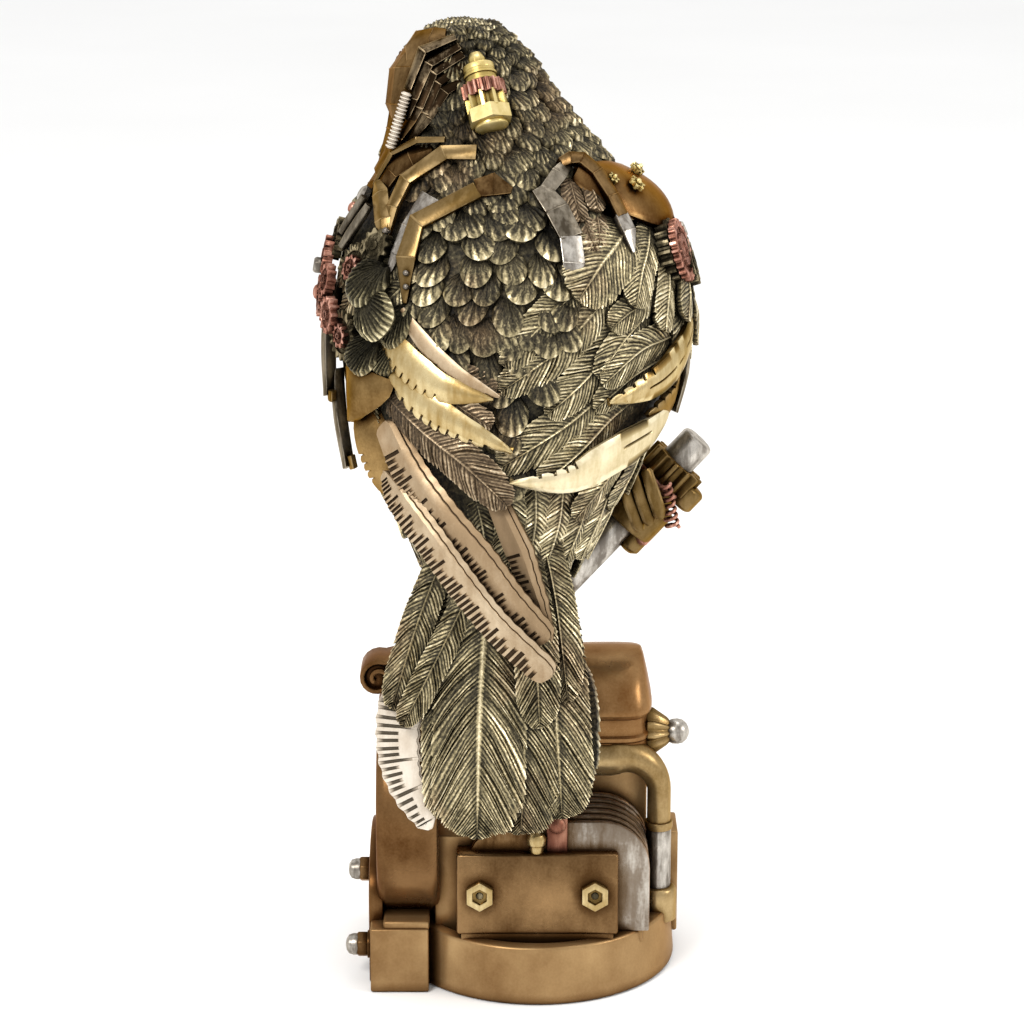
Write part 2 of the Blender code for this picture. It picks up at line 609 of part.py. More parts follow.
def tail():
    """Tail fan, slim side feathers and a broken ruler behind them."""
    made = [
        feather("tail_core", [(-11, -27, 124), (-10, -35, 96), (-9, -41.5, 62)], 36, (0, 0, 0), 0.6,
            4.6, TAIL_FACING),
        feather("tail_left", [(-15, -34, 124), (-17.5, -39.5, 95), (-18.2, -47, 54.5)], 27, (0.4, 0.6),
            1.1, 3.4, TAIL_FACING),
        feather("tail_middle", [(-4, -35, 118), (-3.4, -40, 90), (-4.6, -45.6, 54.8)], 18, (0, 0), 1.0,
            3.2, TAIL_FACING),
        feather("tail_right", [(-1, -31.5, 128), (3.4, -37, 98), (6.4, -43.6, 58.5)], 19, (0.3, 0.5),
            1.1, 3.4, TAIL_FACING),
        feather("tail_short", [(0, -30, 132), (4.6, -34.5, 112), (7.6, -38.4, 91)], 11, (1.4, 1.6), 0.8,
            4, TAIL_FACING),
        feather("slim_a", [(-25, -27, 132), (-33, -34, 112), (-40, -38.5, 88)], 9.5, (0.4, 0.4), 1.0,
            3.4, TAIL_FACING),
        feather("slim_b", [(-17, -32, 122), (-27.5, -37.5, 102), (-37, -41.5, 84)], 8.5, (0.8, 0.8),
            1.0, 3.4, TAIL_FACING),
        feather("broken_ruler", [(-30, -32, 106), (-37, -36.5, 86), (-37, -39.5, 70),
            (-29.5, -43, 54.5)], 11.5, (0, 0), 0.2, 2.4, TAIL_FACING),
    ]
    for k, x in enumerate((-22, -9, 4)):
        made.append(feather(f"under_tail_{k}", [(-11 + x * 0.3, -22, 116), (x, -32, 92),
                (x, -38.5, 66)], 13, (0, 0), 0.9, 3, (0, 1, -0.2)))
    return made


def bar_line():
    """Top of the bar's centre line and its direction downwards, in metres."""
    slope = math.radians(BAR_SLOPE_DEG)
    return Vector(BAR_TOP) * PART, Vector((-math.cos(slope), 0, -math.sin(slope)))


def feet():
    """Legs and claws wrapped around the bar, with the toothed wheel at the right foot."""
    top, along = bar_line()
    top = top / PART
    grip = BAR_RADIUS / PART
    out = Vector((0, 1, 0))
    up = along.cross(out).normalized()
    if up.z < 0:
        up = -up
    made = []

    def at(distance):
        return top + along * distance

    for name, distance, hip in (("right", 22.5, (21, -2, 148)), ("left", 75, (-16, -10, 127))):
        ankle = at(distance) + up * (grip + 1.5) - out * 2
        hip = Vector(hip)
        made.append(turned(f"leg_{name}", hip, ankle - hip, ((0, 8.5), ((ankle - hip).length, 5.2)), 8,
                PART))
        made.append(turned(f"pad_{name}", at(distance - 8), along, ((0, grip + 2.0), (2, grip + 3.4),
                (14, grip + 3.4), (16, grip + 2.0)), 12, PART))
        for k, (shift, first, last) in enumerate(((-7, 70, -95), (0, 70, -110), (7, 70, -95),
                (0, 110, 250))):
            rings = []
            for step in range(5):
                angle = math.radians(first + (last - first) * step / 4)
                spoke = out * math.cos(angle) + up * math.sin(angle)
                centre = at(distance + shift) + spoke * (grip + 2.2)
                size = 3.3 - 2.4 * (step / 4) ** 2
                ring = []
                for corner in range(5):
                    a = 2 * math.pi * corner / 5
                    ring.append(centre + spoke * size * math.cos(a) + along * size * math.sin(a))
                rings.append(ring)
            made.append(loft(f"toe_{name}_{k}", rings, PART))
    made.append(turned("foot_cup", at(20.5) - up * 1.4, along, ((0, grip + 2.6), (2, grip + 3.8),
            (9, grip + 3.8), (11, grip + 2.4)), 12, PART))
    made.append(turned("foot_claw", at(30) - up * 6.4, along, ((0, 2.4), (1.5, 3.6), (5.5, 3.6),
            (7, 2.2)), 8, PART))
    made.append(cog("foot_wheel", at(7.5) - out * 0.5 - up * 0.8, along, 8.6, 6.9, 12, 7.4, PART))
    made.append(turned("foot_lobe", at(10) - out * 2 - up * 8, along, ((0, 3.4), (1, 4.4), (6, 4.4),
            (7, 3.4)), 8, PART))
    for k in range(3):
        start = Vector((24.5 + 3.2 * k, -6.5, 146 - 0.4 * k))
        end = Vector((30.5 + 2.6 * k, -4.0, 130.5 + 1.2 * k))
        made.append(turned(f"strut_{k}", start, end - start, ((0, 1.7), ((end - start).length, 1.9)),
                4, PART))
    start, end = Vector((35.5, -3.5, 141)), Vector((38, -2.5, 129.5))
    coil = [((end - start).length * k / 10, 2.3 if k % 2 else 1.7) for k in range(11)]
    made.append(turned("leg_spring", start, end - start, coil, 6, PART))
    return made


def hide_operand(obj):
    obj.hide_render = True
    obj.display_type = "WIRE"


def evaluated_mesh(obj):
    graph = bpy.context.evaluated_depsgraph_get()
    mesh = bpy.data.meshes.new_from_object(obj.evaluated_get(graph))
    obj.modifiers.clear()
    obj.data = mesh
    return mesh


def fuse(obj, pieces, cutter, share):
    """Fuses pieces into one casting, thins its flat faces and then cuts the bar's room out of it."""
    group = bpy.data.collections.new(obj.name + "_pieces")
    bpy.context.scene.collection.children.link(group)
    for piece in pieces:
        hide_operand(piece)
        bpy.context.scene.collection.objects.unlink(piece)
        group.objects.link(piece)
    union = obj.modifiers.new("union", "BOOLEAN")
    union.operation = "UNION"
    union.solver = "EXACT"
    union.operand_type = "COLLECTION"
    union.collection = group
    keep_outer_skin(evaluated_mesh(obj))
    thin = obj.modifiers.new("thin", "DECIMATE")
    thin.ratio = share
    keep_outer_skin(evaluated_mesh(obj))
    hide_operand(cutter)
    cut = obj.modifiers.new("cut", "BOOLEAN")
    cut.operation = "DIFFERENCE"
    cut.solver = "EXACT"
    cut.object = cutter
    keep_outer_skin(evaluated_mesh(obj))
    for piece in pieces + [cutter]:
        bpy.data.objects.remove(piece, do_unlink=True)
    bpy.data.collections.remove(group)


def keep_outer_skin(mesh):
    """Keeps the outside of a fused casting and removes the pockets sealed inside it."""
    shape = bmesh.new()
    shape.from_mesh(mesh)
    bmesh.ops.triangulate(shape, faces=shape.faces)
    mend_seams(shape)
    waiting = set(shape.verts)
    skins = []
    while waiting:
        seed = waiting.pop()
        skin, edge_of = {seed}, [seed]
        while edge_of:
            for edge in edge_of.pop().link_edges:
                for vert in edge.verts:
                    if vert in waiting:
                        waiting.discard(vert)
                        skin.add(vert)
                        edge_of.append(vert)
        skins.append(skin)
    skins.sort(key=len)
    for skin in skins[:-1]:
        bmesh.ops.delete(shape, geom=list(skin), context="VERTS")
    shape.to_mesh(mesh)
    shape.free()


def mend_seams(shape):
    """Takes out the points where surfaces only touch and closes the small holes they leave."""
    for _ in range(MEND_ROUNDS):
        touching = [edge for edge in shape.edges if len(edge.link_faces) != 2]
        if not touching:
            return
        points = {vert for edge in touching for vert in edge.verts}
        bmesh.ops.delete(shape, geom=list(points), context="VERTS")
        rim = [edge for edge in shape.edges if len(edge.link_faces) == 1]
        filled = bmesh.ops.holes_fill(shape, edges=rim, sides=0)
        bmesh.ops.triangulate(shape, faces=filled["faces"])


def bar_solid(name, spare):
    """The perch bar, or its room when spare is the clearance around it."""
    top, along = bar_line()
    drum_face = drum_right()
    length = (top.x - drum_face + BAR_SOCKET_DEPTH) / -along.x
    radius = BAR_RADIUS + spare
    ends = BAR_END_ROUND
    profile = ((-spare, radius - ends), (ends - spare, radius), (length - ends + spare, radius),
            (length + spare, radius - ends))
    return turned(name, top, along, profile, 20)


def drum_left():
    return -BASE_RADIUS * (1 + DRUM_OVERHANG)


def drum_right():
    return drum_left() + DRUM_WIDTH


def make_crow():
    rings = []
    for row in BODY:
        rings.append([skin_point(deg, row[0]) for deg in range(0, 360, 20)])
    crow = loft("crow", rings, PART)
    pieces = body_feathers() + left_wing() + right_wing() + lower_feathers()
    pieces += cog_cluster() + head_parts() + tail() + feet()
    fuse(crow, pieces, bar_solid("bar_room_in_claws", GAP), CROW_SHARE)
    return crow


def drum_pieces():
    left, right = drum_left(), drum_right()
    centre = (left, 0, DRUM_HEIGHT)
    rim = DRUM_RADIUS - DRUM_RIM
    profile = (
        (0, rim),
        (0, DRUM_RADIUS - DRUM_BEVEL),
        (DRUM_BEVEL, DRUM_RADIUS),
        (DRUM_WIDTH - DRUM_BEVEL, DRUM_RADIUS),
        (DRUM_WIDTH, DRUM_RADIUS - DRUM_BEVEL),
        (DRUM_WIDTH, rim),
        (DRUM_WIDTH - DRUM_BEVEL, rim - DRUM_BEVEL),
    )
    made = [turned("drum", centre, (1, 0, 0), profile, 36)]
    top, along = bar_line()
    reach = (top.x - right) / -along.x
    outer = BAR_RADIUS + COLLAR_WALL
    start = top + along * (reach - COLLAR_LENGTH)
    made.append(turned("bar_collar", start, along, ((0, outer * 0.85), (COLLAR_LENGTH * 0.2, outer),
                                                    (COLLAR_LENGTH + BAR_SOCKET_DEPTH, outer)), 20))
    curl_height = DRUM_HEIGHT + DRUM_RADIUS + CURL_RADIUS * 0.9
    curl_at = (left - CURL_RADIUS * 0.07, -CURL_LENGTH / 2, curl_height)
    made.append(turned("curl", curl_at, (0, 1, 0), ((0, CURL_RADIUS * 0.8), (DRUM_BEVEL, CURL_RADIUS),
            (CURL_LENGTH - DRUM_BEVEL, CURL_RADIUS), (CURL_LENGTH, CURL_RADIUS * 0.8)), 16))
    made.append(box("curl_leaf", (left, DRUM_BEVEL - CURL_LENGTH / 2, DRUM_HEIGHT + DRUM_RADIUS * 0.95),
            (left + CURL_LEAF, CURL_LENGTH / 2 - DRUM_BEVEL, curl_height + CURL_RADIUS * 0.9)))
    return made


def bolt(name, x, y, z, direction):
    """A nut with a domed cap, on a face square to X."""
    profile = (
        (-BOLT_RADIUS, BOLT_RADIUS * 1.15),
        (BOLT_LENGTH * 0.45, BOLT_RADIUS * 1.15),
        (BOLT_LENGTH * 0.46, BOLT_RADIUS * 0.9),
        (BOLT_LENGTH * 0.75, BOLT_RADIUS * 0.9),
        (BOLT_LENGTH, BOLT_RADIUS * 0.45),
    )
    return turned(name, (x, y, z), (direction, 0, 0), profile, 10)


def side_pieces():
    left = drum_left() - BLOCK_STEP
    made = [box("side_block", (left, -BLOCK_LENGTH / 2, 0), (left + BLOCK_WIDTH, BLOCK_LENGTH / 2,
            BLOCK_HEIGHT))]
    outer = left - FLANGE_STEP
    rings = []
    for x in (outer, outer + FLANGE_THICKNESS):
        ring = [(x, -FLANGE_LENGTH / 2, 0.0), (x, FLANGE_LENGTH / 2, 0.0)]
        for k in range(7):
            a = math.pi * k / 6
            ring.append((x, FLANGE_LENGTH / 2 * math.cos(a),
                    FLANGE_HEIGHT - (1 - math.sin(a)) * FLANGE_LENGTH * 0.3))
        rings.append(ring)
    made.append(loft("flange", rings))
    heights = (BLOCK_HEIGHT * 0.54, FLANGE_HEIGHT * 0.64)
    made.append(bolt("bolt_low", outer, -FLANGE_LENGTH * 0.42, heights[0], -1))
    made.append(bolt("bolt_high", outer, 0, heights[1], -1))
    return made


def arch(name, left, right, foot, top, shoulder, back, front):
    """A block along Y whose upper corners are rounded."""
    outline = [(left, foot), (right, foot)]
    for k in range(6):
        a = math.pi / 2 * k / 5
        outline.append((right - shoulder + shoulder * math.cos(a), top - shoulder + shoulder * math.sin(a)))
    for k in range(6):
        a = math.pi / 2 * (1 + k / 5)
        outline.append((left + shoulder + shoulder * math.cos(a), top - shoulder + shoulder * math.sin(a)))
    return loft(name, [[(x, y, z) for x, z in outline] for y in (back, front)])


def casing_pieces():
    foot = BASE_HEIGHT - RIM_DEPTH - 0.001
    inner = FIN_GROOVE
    made = [arch("fin_core", CASE_LEFT + inner, CASE_RIGHT - inner, foot, FIN_TOP - inner,
            FIN_SHOULDER, CASE_BACK + 0.001, CASE_FRONT)]
    for k in range(FIN_COUNT):
        back = CASE_BACK + FIN_PITCH * k
        made.append(arch(f"fin_{k}", CASE_LEFT, CASE_RIGHT, foot, FIN_TOP, FIN_SHOULDER, back,
                back + FIN_THICKNESS))
    web_low = (drum_right() - DRUM_BEVEL, CASE_BACK + WEB_STEP, foot)
    web_high = (CASE_LEFT + inner * 2, CASE_FRONT - WEB_STEP, WEB_TOP)
    made.append(box("web", web_low, web_high))
    body_back = CASE_BACK + FIN_PITCH * FIN_COUNT
    made.append(arch("case_body", CASE_LEFT, CASE_RIGHT, foot, BLOCK_TOP, FIN_SHOULDER * 0.8,
            body_back, CASE_FRONT))
    return made


def rounded_ring(x, y, z, wide, deep, power, sides=20):
    """A level outline between a rectangle and an ellipse."""
    ring = []
    for k in range(sides):
        a = 2 * math.pi * (k + 0.5) / sides
        c, s = math.cos(a), math.sin(a)
        ring.append((x + wide * math.copysign(abs(c) ** (2 / power), c),
                y + deep * math.copysign(abs(s) ** (2 / power), s), z))
    return ring


def hopper_pieces():
    middle = CASE_RIGHT + 0.0012 - HOPPER_WIDTH / 2
    y = CASE_FRONT - HOPPER_DEPTH / 2
    wide, deep = HOPPER_WIDTH / 2, HOPPER_DEPTH / 2
    rise = HOPPER_TOP - HOPPER_RIM
    neck = HOPPER_RIM - BLOCK_TOP
    levels = (
        (BLOCK_TOP - 0.003, 0.93, 0.90),
        (BLOCK_TOP + neck * 0.1, 0.93, 0.90),
        (BLOCK_TOP + neck * 0.45, 0.90, 0.87),
        (HOPPER_RIM - neck * 0.2, 0.95, 0.94),
        (HOPPER_RIM, 1.0, 1.0),
        (HOPPER_RIM + rise * 0.12, 0.98, 0.985),
        (HOPPER_RIM + rise * 0.45, 0.91, 0.88),
        (HOPPER_RIM + rise * 0.75, 0.84, 0.66),
        (HOPPER_RIM + rise * 0.93, 0.79, 0.42),
        (HOPPER_TOP, 0.73, 0.16),
    )
    return [loft("hopper", [rounded_ring(middle, y, z, wide * a, deep * b, 4) for z, a, b in levels])]


def pipe_pieces():
    """A round pipe from the drum, over the fins and down to its collar."""
    corner = Vector((PIPE_RIGHT - PIPE_BEND, PIPE_Y, PIPE_TOP - PIPE_BEND))
    path = [Vector((drum_right() - PIPE_RADIUS, PIPE_Y, PIPE_TOP))]
    for k in range(6):
        a = math.pi / 2 * (1 - k / 5)
        path.append(corner + Vector((math.cos(a), 0, math.sin(a))) * PIPE_BEND)
    path.append(Vector((PIPE_RIGHT, PIPE_Y, BASE_HEIGHT - RIM_DEPTH)))
    rings = []
    for i, point in enumerate(path):
        ahead = path[min(i + 1, len(path) - 1)] - path[max(i - 1, 0)]
        normal = Vector((0, 1, 0)).cross(ahead).normalized()
        turns = [2 * math.pi * (k + 0.5) / 10 for k in range(10)]
        rings.append([point + (Vector((0, 1, 0)) * math.cos(a) + normal * math.sin(a)) * PIPE_RADIUS
                for a in turns])
    made = [loft("pipe", rings)]
    foot = (PIPE_RIGHT, PIPE_Y, BASE_HEIGHT - RIM_DEPTH - 0.001)
    radius = PIPE_COLLAR_RADIUS
    made.append(turned("pipe_collar", foot, (0, 0, 1), ((0, radius), (PIPE_COLLAR_HEIGHT * 0.8, radius),
                                                       (PIPE_COLLAR_HEIGHT, radius * 0.85)), 12))
    knob_at = (CASE_RIGHT - 0.002, 0.0, BLOCK_TOP + 0.0006)
    made.append(cog("knob", knob_at, (1, 0, 0), KNOB_RADIUS, KNOB_RADIUS * 0.78, KNOB_TEETH,
            KNOB_LENGTH + 0.002))
    reach = KNOB_LENGTH
    cap = KNOB_CAP_RADIUS
    made.append(turned("knob_cap", (CASE_RIGHT - 0.001, 0.0, BLOCK_TOP + 0.0006), (1, 0, 0),
            ((0, cap * 0.7), (reach + cap * 0.4, cap * 0.75), (reach + cap, cap), (reach + cap * 1.7, cap),
            (reach + cap * 2.3, cap * 0.7), (reach + cap * 2.5, cap * 0.3)), 10))
    return made


def back_plate_pieces():
    """The leaning plate with two nuts, the small tag above it and the bracket at the right."""
    lean = math.radians(PLATE_LEAN_DEG)
    low = Vector((0, -math.sqrt(max(BASE_RADIUS**2 - (PLATE_WIDTH / 2) ** 2, 0)), PLATE_FOOT))
    up = Vector((0, math.sin(lean), math.cos(lean)))
    inward = Vector((0, math.cos(lean), -math.sin(lean)))
    half = PLATE_WIDTH / 2
    depth = PLATE_THICKNESS + 0.006
    rings = []
    for share in (0.0, 1.0):
        base = low + up * PLATE_HEIGHT * share
        rings.append([base + Vector((-half, 0, 0)), base + Vector((half, 0, 0)),
                base + Vector((half, 0, 0)) + inward * depth,
                base + Vector((-half, 0, 0)) + inward * depth])
    made = [loft("nut_plate", rings)]
    for side in (-1, 1):
        middle = low + up * PLATE_HEIGHT * 0.5 + Vector((side * NUT_SPACING / 2, 0, 0)) + inward * 0.001
        profile = ((0, NUT_RADIUS), (NUT_HEIGHT + 0.001, NUT_RADIUS),
                (NUT_HEIGHT + 0.001, NUT_RADIUS * 0.5), (NUT_HEIGHT * 0.5, NUT_RADIUS * 0.5))
        made.append(turned(f"nut_{side}", middle, -inward, profile, 6))
    tag_low = low.z + PLATE_HEIGHT - 0.002
    made.append(box("tag", (0.0025, CASE_BACK - 0.0012, tag_low),
            (0.0025 + TAG_WIDTH, CASE_BACK + 0.004, tag_low + TAG_HEIGHT)))
    right = BASE_RADIUS + 0.001
    made.append(box("bracket", (right - BRACKET_THICKNESS, -0.001, 0.006),
            (right, BRACKET_LENGTH, BRACKET_HEIGHT)))
    made.append(box("bracket_root", (CASE_RIGHT - 0.004, 0.003, 0.010),
            (right - 0.001, BRACKET_LENGTH - 0.003, BRACKET_HEIGHT * 0.8)))
    return made


def gauge_pieces():
    """A round gauge and four rivets on the casing's front."""
    middle = (CASE_LEFT + CASE_RIGHT) / 2
    start = (middle, CASE_FRONT - 0.001, GAUGE_HEIGHT)
    inner = GAUGE_RADIUS - GAUGE_RIM
    deep = GAUGE_DEPTH + 0.001
    profile = ((0, GAUGE_RADIUS), (deep - GAUGE_RIM * 0.4, GAUGE_RADIUS),
            (deep, GAUGE_RADIUS - GAUGE_RIM * 0.4), (deep, inner), (deep - GAUGE_RIM, inner))
    made = [turned("gauge", start, (0, 1, 0), profile, 20)]
    for k, (side, height) in enumerate(((-1, 0.6), (1, 0.6), (-1, 2.2), (1, 2.2))):
        x = middle + side * GAUGE_RADIUS * 1.75
        z = BASE_HEIGHT + GAUGE_RADIUS * height
        rivet = ((0, RIVET_RADIUS), (0.001 + RIVET_RADIUS * 0.5, RIVET_RADIUS),
                (0.001 + RIVET_RADIUS, RIVET_RADIUS * 0.45))
        made.append(turned(f"rivet_{k}", (x, CASE_FRONT - 0.001, z), (0, 1, 0), rivet, 8))
    return made


def make_plinth():
    inner = BASE_RADIUS - RIM_WIDTH
    profile = (
        (0, BASE_RADIUS - BASE_DRAFT),
        (BASE_HEIGHT * 0.08, BASE_RADIUS),
        (BASE_HEIGHT, BASE_RADIUS - BASE_DRAFT),
        (BASE_HEIGHT, inner),
        (BASE_HEIGHT - RIM_DEPTH, inner - 0.0006),
    )
    plinth = turned("engine_plinth", (0, 0, 0), (0, 0, 1), profile, 52)
    pieces = drum_pieces() + side_pieces() + casing_pieces() + hopper_pieces() + pipe_pieces() + back_plate_pieces()
    pieces += gauge_pieces()
    fuse(plinth, pieces, bar_solid("bar_room_in_drum", GAP), PLINTH_SHARE)
    return plinth


def finish(obj, mat, crease_deg):
    obj.data.materials.clear()
    obj.data.materials.append(mat)
    obj.data.shade_smooth()
    obj.data.set_sharp_from_angle(angle=math.radians(crease_deg))


clear_scene()
finish(make_crow(), material("antique_brass", (0.30, 0.26, 0.15), 0.8, 0.45), 32)
finish(bar_solid("perch_bar", 0.0), material("dull_steel", (0.42, 0.42, 0.43), 0.9, 0.4), 32)
finish(make_plinth(), material("bronze", (0.38, 0.24, 0.11), 0.8, 0.42), 32)
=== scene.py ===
# %% [markdown]
# # A crow built of feathers and clockwork
# The real object is a cast resin figurine, 270 mm tall: a crow seen from behind, perched on a slanted
# bar that rises out of a small engine. It is painted in metal colours, and then a dark wash is wiped
# over it and the raised edges are brushed with pale gold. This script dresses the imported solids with
# that detail. Lengths are in millimetres in the helpers and become metres where a mesh is made.

# %% Load the frame
import math
import random

import bmesh
import bpy
import numpy as np
from mathutils import Matrix, Vector


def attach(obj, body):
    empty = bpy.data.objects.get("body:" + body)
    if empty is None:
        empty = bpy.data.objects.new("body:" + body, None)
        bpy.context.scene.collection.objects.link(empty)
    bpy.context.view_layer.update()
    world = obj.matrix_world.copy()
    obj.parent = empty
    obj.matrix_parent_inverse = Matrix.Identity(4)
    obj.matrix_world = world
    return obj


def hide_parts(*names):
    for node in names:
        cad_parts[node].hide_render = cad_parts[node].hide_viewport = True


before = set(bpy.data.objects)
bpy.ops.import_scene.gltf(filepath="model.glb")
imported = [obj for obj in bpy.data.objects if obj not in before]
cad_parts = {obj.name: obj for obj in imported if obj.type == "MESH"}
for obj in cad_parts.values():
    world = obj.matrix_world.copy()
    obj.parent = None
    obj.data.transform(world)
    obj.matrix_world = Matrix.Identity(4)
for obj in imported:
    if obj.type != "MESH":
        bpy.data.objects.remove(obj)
bpy.ops.object.select_all(action="DESELECT")
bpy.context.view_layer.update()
MM = 0.001

# %% [markdown]
# ## Camera, floor and light
# The photo was taken from behind and a little above with a long lens, so the plinth's round rim shows
# as a shallow curve. The camera stands 900 mm away and looks down by 16 degrees. Broad lamps give the
# soft reflections that metal paint needs, and one of them is stronger so that the edges glint.

# %% Camera, floor and light
LOOK_DOWN_DEG = 16
LOOK_FROM_MM = 900
AIM = Vector((-7.1, 0, 133)) * MM
SENSOR_MM = 36
LENS_MM = 112.3
FLOOR_SIZE_M = 60
FLOOR_GAP_M = 0.0002
DAYLIGHT = (1.0, 0.98, 0.95)
LAMPS = (
    # name, place in metres, size in metres, watts, tint
    ("lamp_upper_left", (-0.50, -0.80, 0.90), 0.35, 9, DAYLIGHT),
    ("lamp_right", (0.95, -0.35, 0.60), 0.30, 4, DAYLIGHT),
    ("lamp_top", (0.1, 0.1, 1.2), 0.5, 3, (1, 1, 1)),
)

down = math.radians(LOOK_DOWN_DEG)
view_dir = Vector((0, math.cos(down), -math.sin(down)))
bpy.ops.object.camera_add(location=AIM - view_dir * LOOK_FROM_MM * MM, rotation=(math.pi / 2 - down, 0, 0))
camera = bpy.context.object
camera.data.lens = LENS_MM
camera.data.sensor_width = SENSOR_MM
camera.data.clip_start = 0.01
bpy.context.scene.camera = camera

bpy.ops.mesh.primitive_plane_add(size=FLOOR_SIZE_M, location=(0, 0, -FLOOR_GAP_M))
floor = bpy.context.object
floor.name = "floor"
for name, place, size, watts, tint in LAMPS:
    bpy.ops.object.light_add(type="AREA", location=place)
    lamp = bpy.context.object
    lamp.name = name
    lamp.data.size = size
    lamp.data.energy = watts
    lamp.data.color = tint
    lamp.rotation_euler = (AIM - Vector(place)).to_track_quat("-Z", "Y").to_euler()

world = bpy.data.worlds.new("studio")
bpy.context.scene.world = world
world.use_nodes = True
sky = world.node_tree.nodes["Background"]
sky.inputs["Color"].default_value = (1, 1, 1, 1)
sky.inputs["Strength"].default_value = 1.0
bpy.context.scene.view_settings.view_transform = "Standard"
print("camera at", [round(v, 3) for v in camera.location])

# %% [markdown]
# ## Paint
# Every finish is the same idea: a metal colour, a dark wash with painted shade that stays in the hollows and
# a pale dry brushing on what stands out. The hollows come from two places. Feathers carry a value called
# relief_and_shade, 0 in a groove and 1 on a ridge and low, as painted shade, at the covered roots and sides
# of feathers, and ambient occlusion finds the gaps between pieces, which are darkened as painted shade.

# %% Paint
# Features of the noise patterns per metre, first for plain metal and then for feathers.
CLOUDS, LUMPS, WORN_SPOTS, STREAKS, GRAINS = 55, 160, 240, 420, 1500
PATCHES, FEATHER_CLOUDS, WANDERING, FEATHER_GRAINS = 34, 75, 500, 1300
# How far ambient occlusion looks for a neighbour.
PLATE_GAP_MM, FEATHER_GAP_MM = 3.5, 3.0
LACQUER = 0.2


class Nodes:
    """Short ways to add and join the nodes of one material."""

    def __init__(self, name):
        self.material = bpy.data.materials.new(name)
        self.material.use_nodes = True
        self.tree = self.material.node_tree
        self.shader = self.tree.nodes["Principled BSDF"]
        self.place = self.add("ShaderNodeTexCoord").outputs["Object"]

    def add(self, kind, **settings):
        node = self.tree.nodes.new(kind)
        for key, value in settings.items():
            setattr(node, key, value)
        return node

    def feed(self, socket, value):
        if isinstance(value, bpy.types.NodeSocket):
            self.tree.links.new(value, socket)
        else:
            socket.default_value = value

    def math(self, operation, a, b=0.0, clamp=False):
        node = self.add("ShaderNodeMath", operation=operation, use_clamp=clamp)
        self.feed(node.inputs[0], a)
        self.feed(node.inputs[1], b)
        return node.outputs[0]

    def total(self, first, *others, clamp=False):
        for number, other in enumerate(others, 1):
            first = self.math("ADD", first, other, clamp and number == len(others))
        return first

    def noise(self, per_metre, detail=3.0, rough=0.5, stretch=None):
        node = self.add("ShaderNodeTexNoise")
        place = self.place
        if stretch:
            mapping = self.add("ShaderNodeMapping")
            self.feed(mapping.inputs["Vector"], place)
            mapping.inputs["Scale"].default_value = stretch
            place = mapping.outputs["Vector"]
        self.feed(node.inputs["Vector"], place)
        node.inputs["Scale"].default_value = per_metre
        node.inputs["Detail"].default_value = detail
        node.inputs["Roughness"].default_value = rough
        return node.outputs["Fac"]

    def ramp(self, level, stops):
        node = self.add("ShaderNodeValToRGB")
        self.feed(node.inputs["Fac"], level)
        band = node.color_ramp
        while len(band.elements) < len(stops):
            band.elements.new(1.0)
        for element, (place, colour) in zip(band.elements, stops):
            element.position = place
            element.color = (*colour, 1)
        return node.outputs["Color"]

    def spread(self, level, low, high, to_low=0.0, to_high=1.0):
        node = self.add("ShaderNodeMapRange")
        names = "Value", "From Min", "From Max", "To Min", "To Max"
        for key, value in zip(names, (level, low, high, to_low, to_high)):
            self.feed(node.inputs[key], value)
        return node.outputs["Result"]

    def relief_and_shade(self):
        return self.add("ShaderNodeAttribute", attribute_name="relief_and_shade").outputs["Fac"]

    def finish(self, colour, metallic, roughness, normal):
        self.feed(self.shader.inputs["Base Color"], colour)
        self.shader.inputs["Metallic"].default_value = metallic
        self.feed(self.shader.inputs["Roughness"], roughness)
        self.feed(self.shader.inputs["Normal"], normal)
        return self.material

    def mix(self, share, first, second):
        node = self.add("ShaderNodeMix", data_type="RGBA")
        for socket, value in ((0, share), (6, first), (7, second)):
            self.feed(node.inputs[socket], value)
        return node.outputs[2]

    def hollow(self, reach_mm):
        # Ambient occlusion, which the paints turn into painted shade in hollows and between parts.
        node = self.add("ShaderNodeAmbientOcclusion", samples=6)
        node.inputs["Distance"].default_value = reach_mm * MM
        return node.outputs["AO"]

    def bump(self, height, strength, depth_mm, before=None):
        node = self.add("ShaderNodeBump")
        node.inputs["Strength"].default_value = strength
        node.inputs["Distance"].default_value = depth_mm * MM
        self.feed(node.inputs["Height"], height)
        if before:
            self.feed(node.inputs["Normal"], before)
        return node.outputs["Normal"]


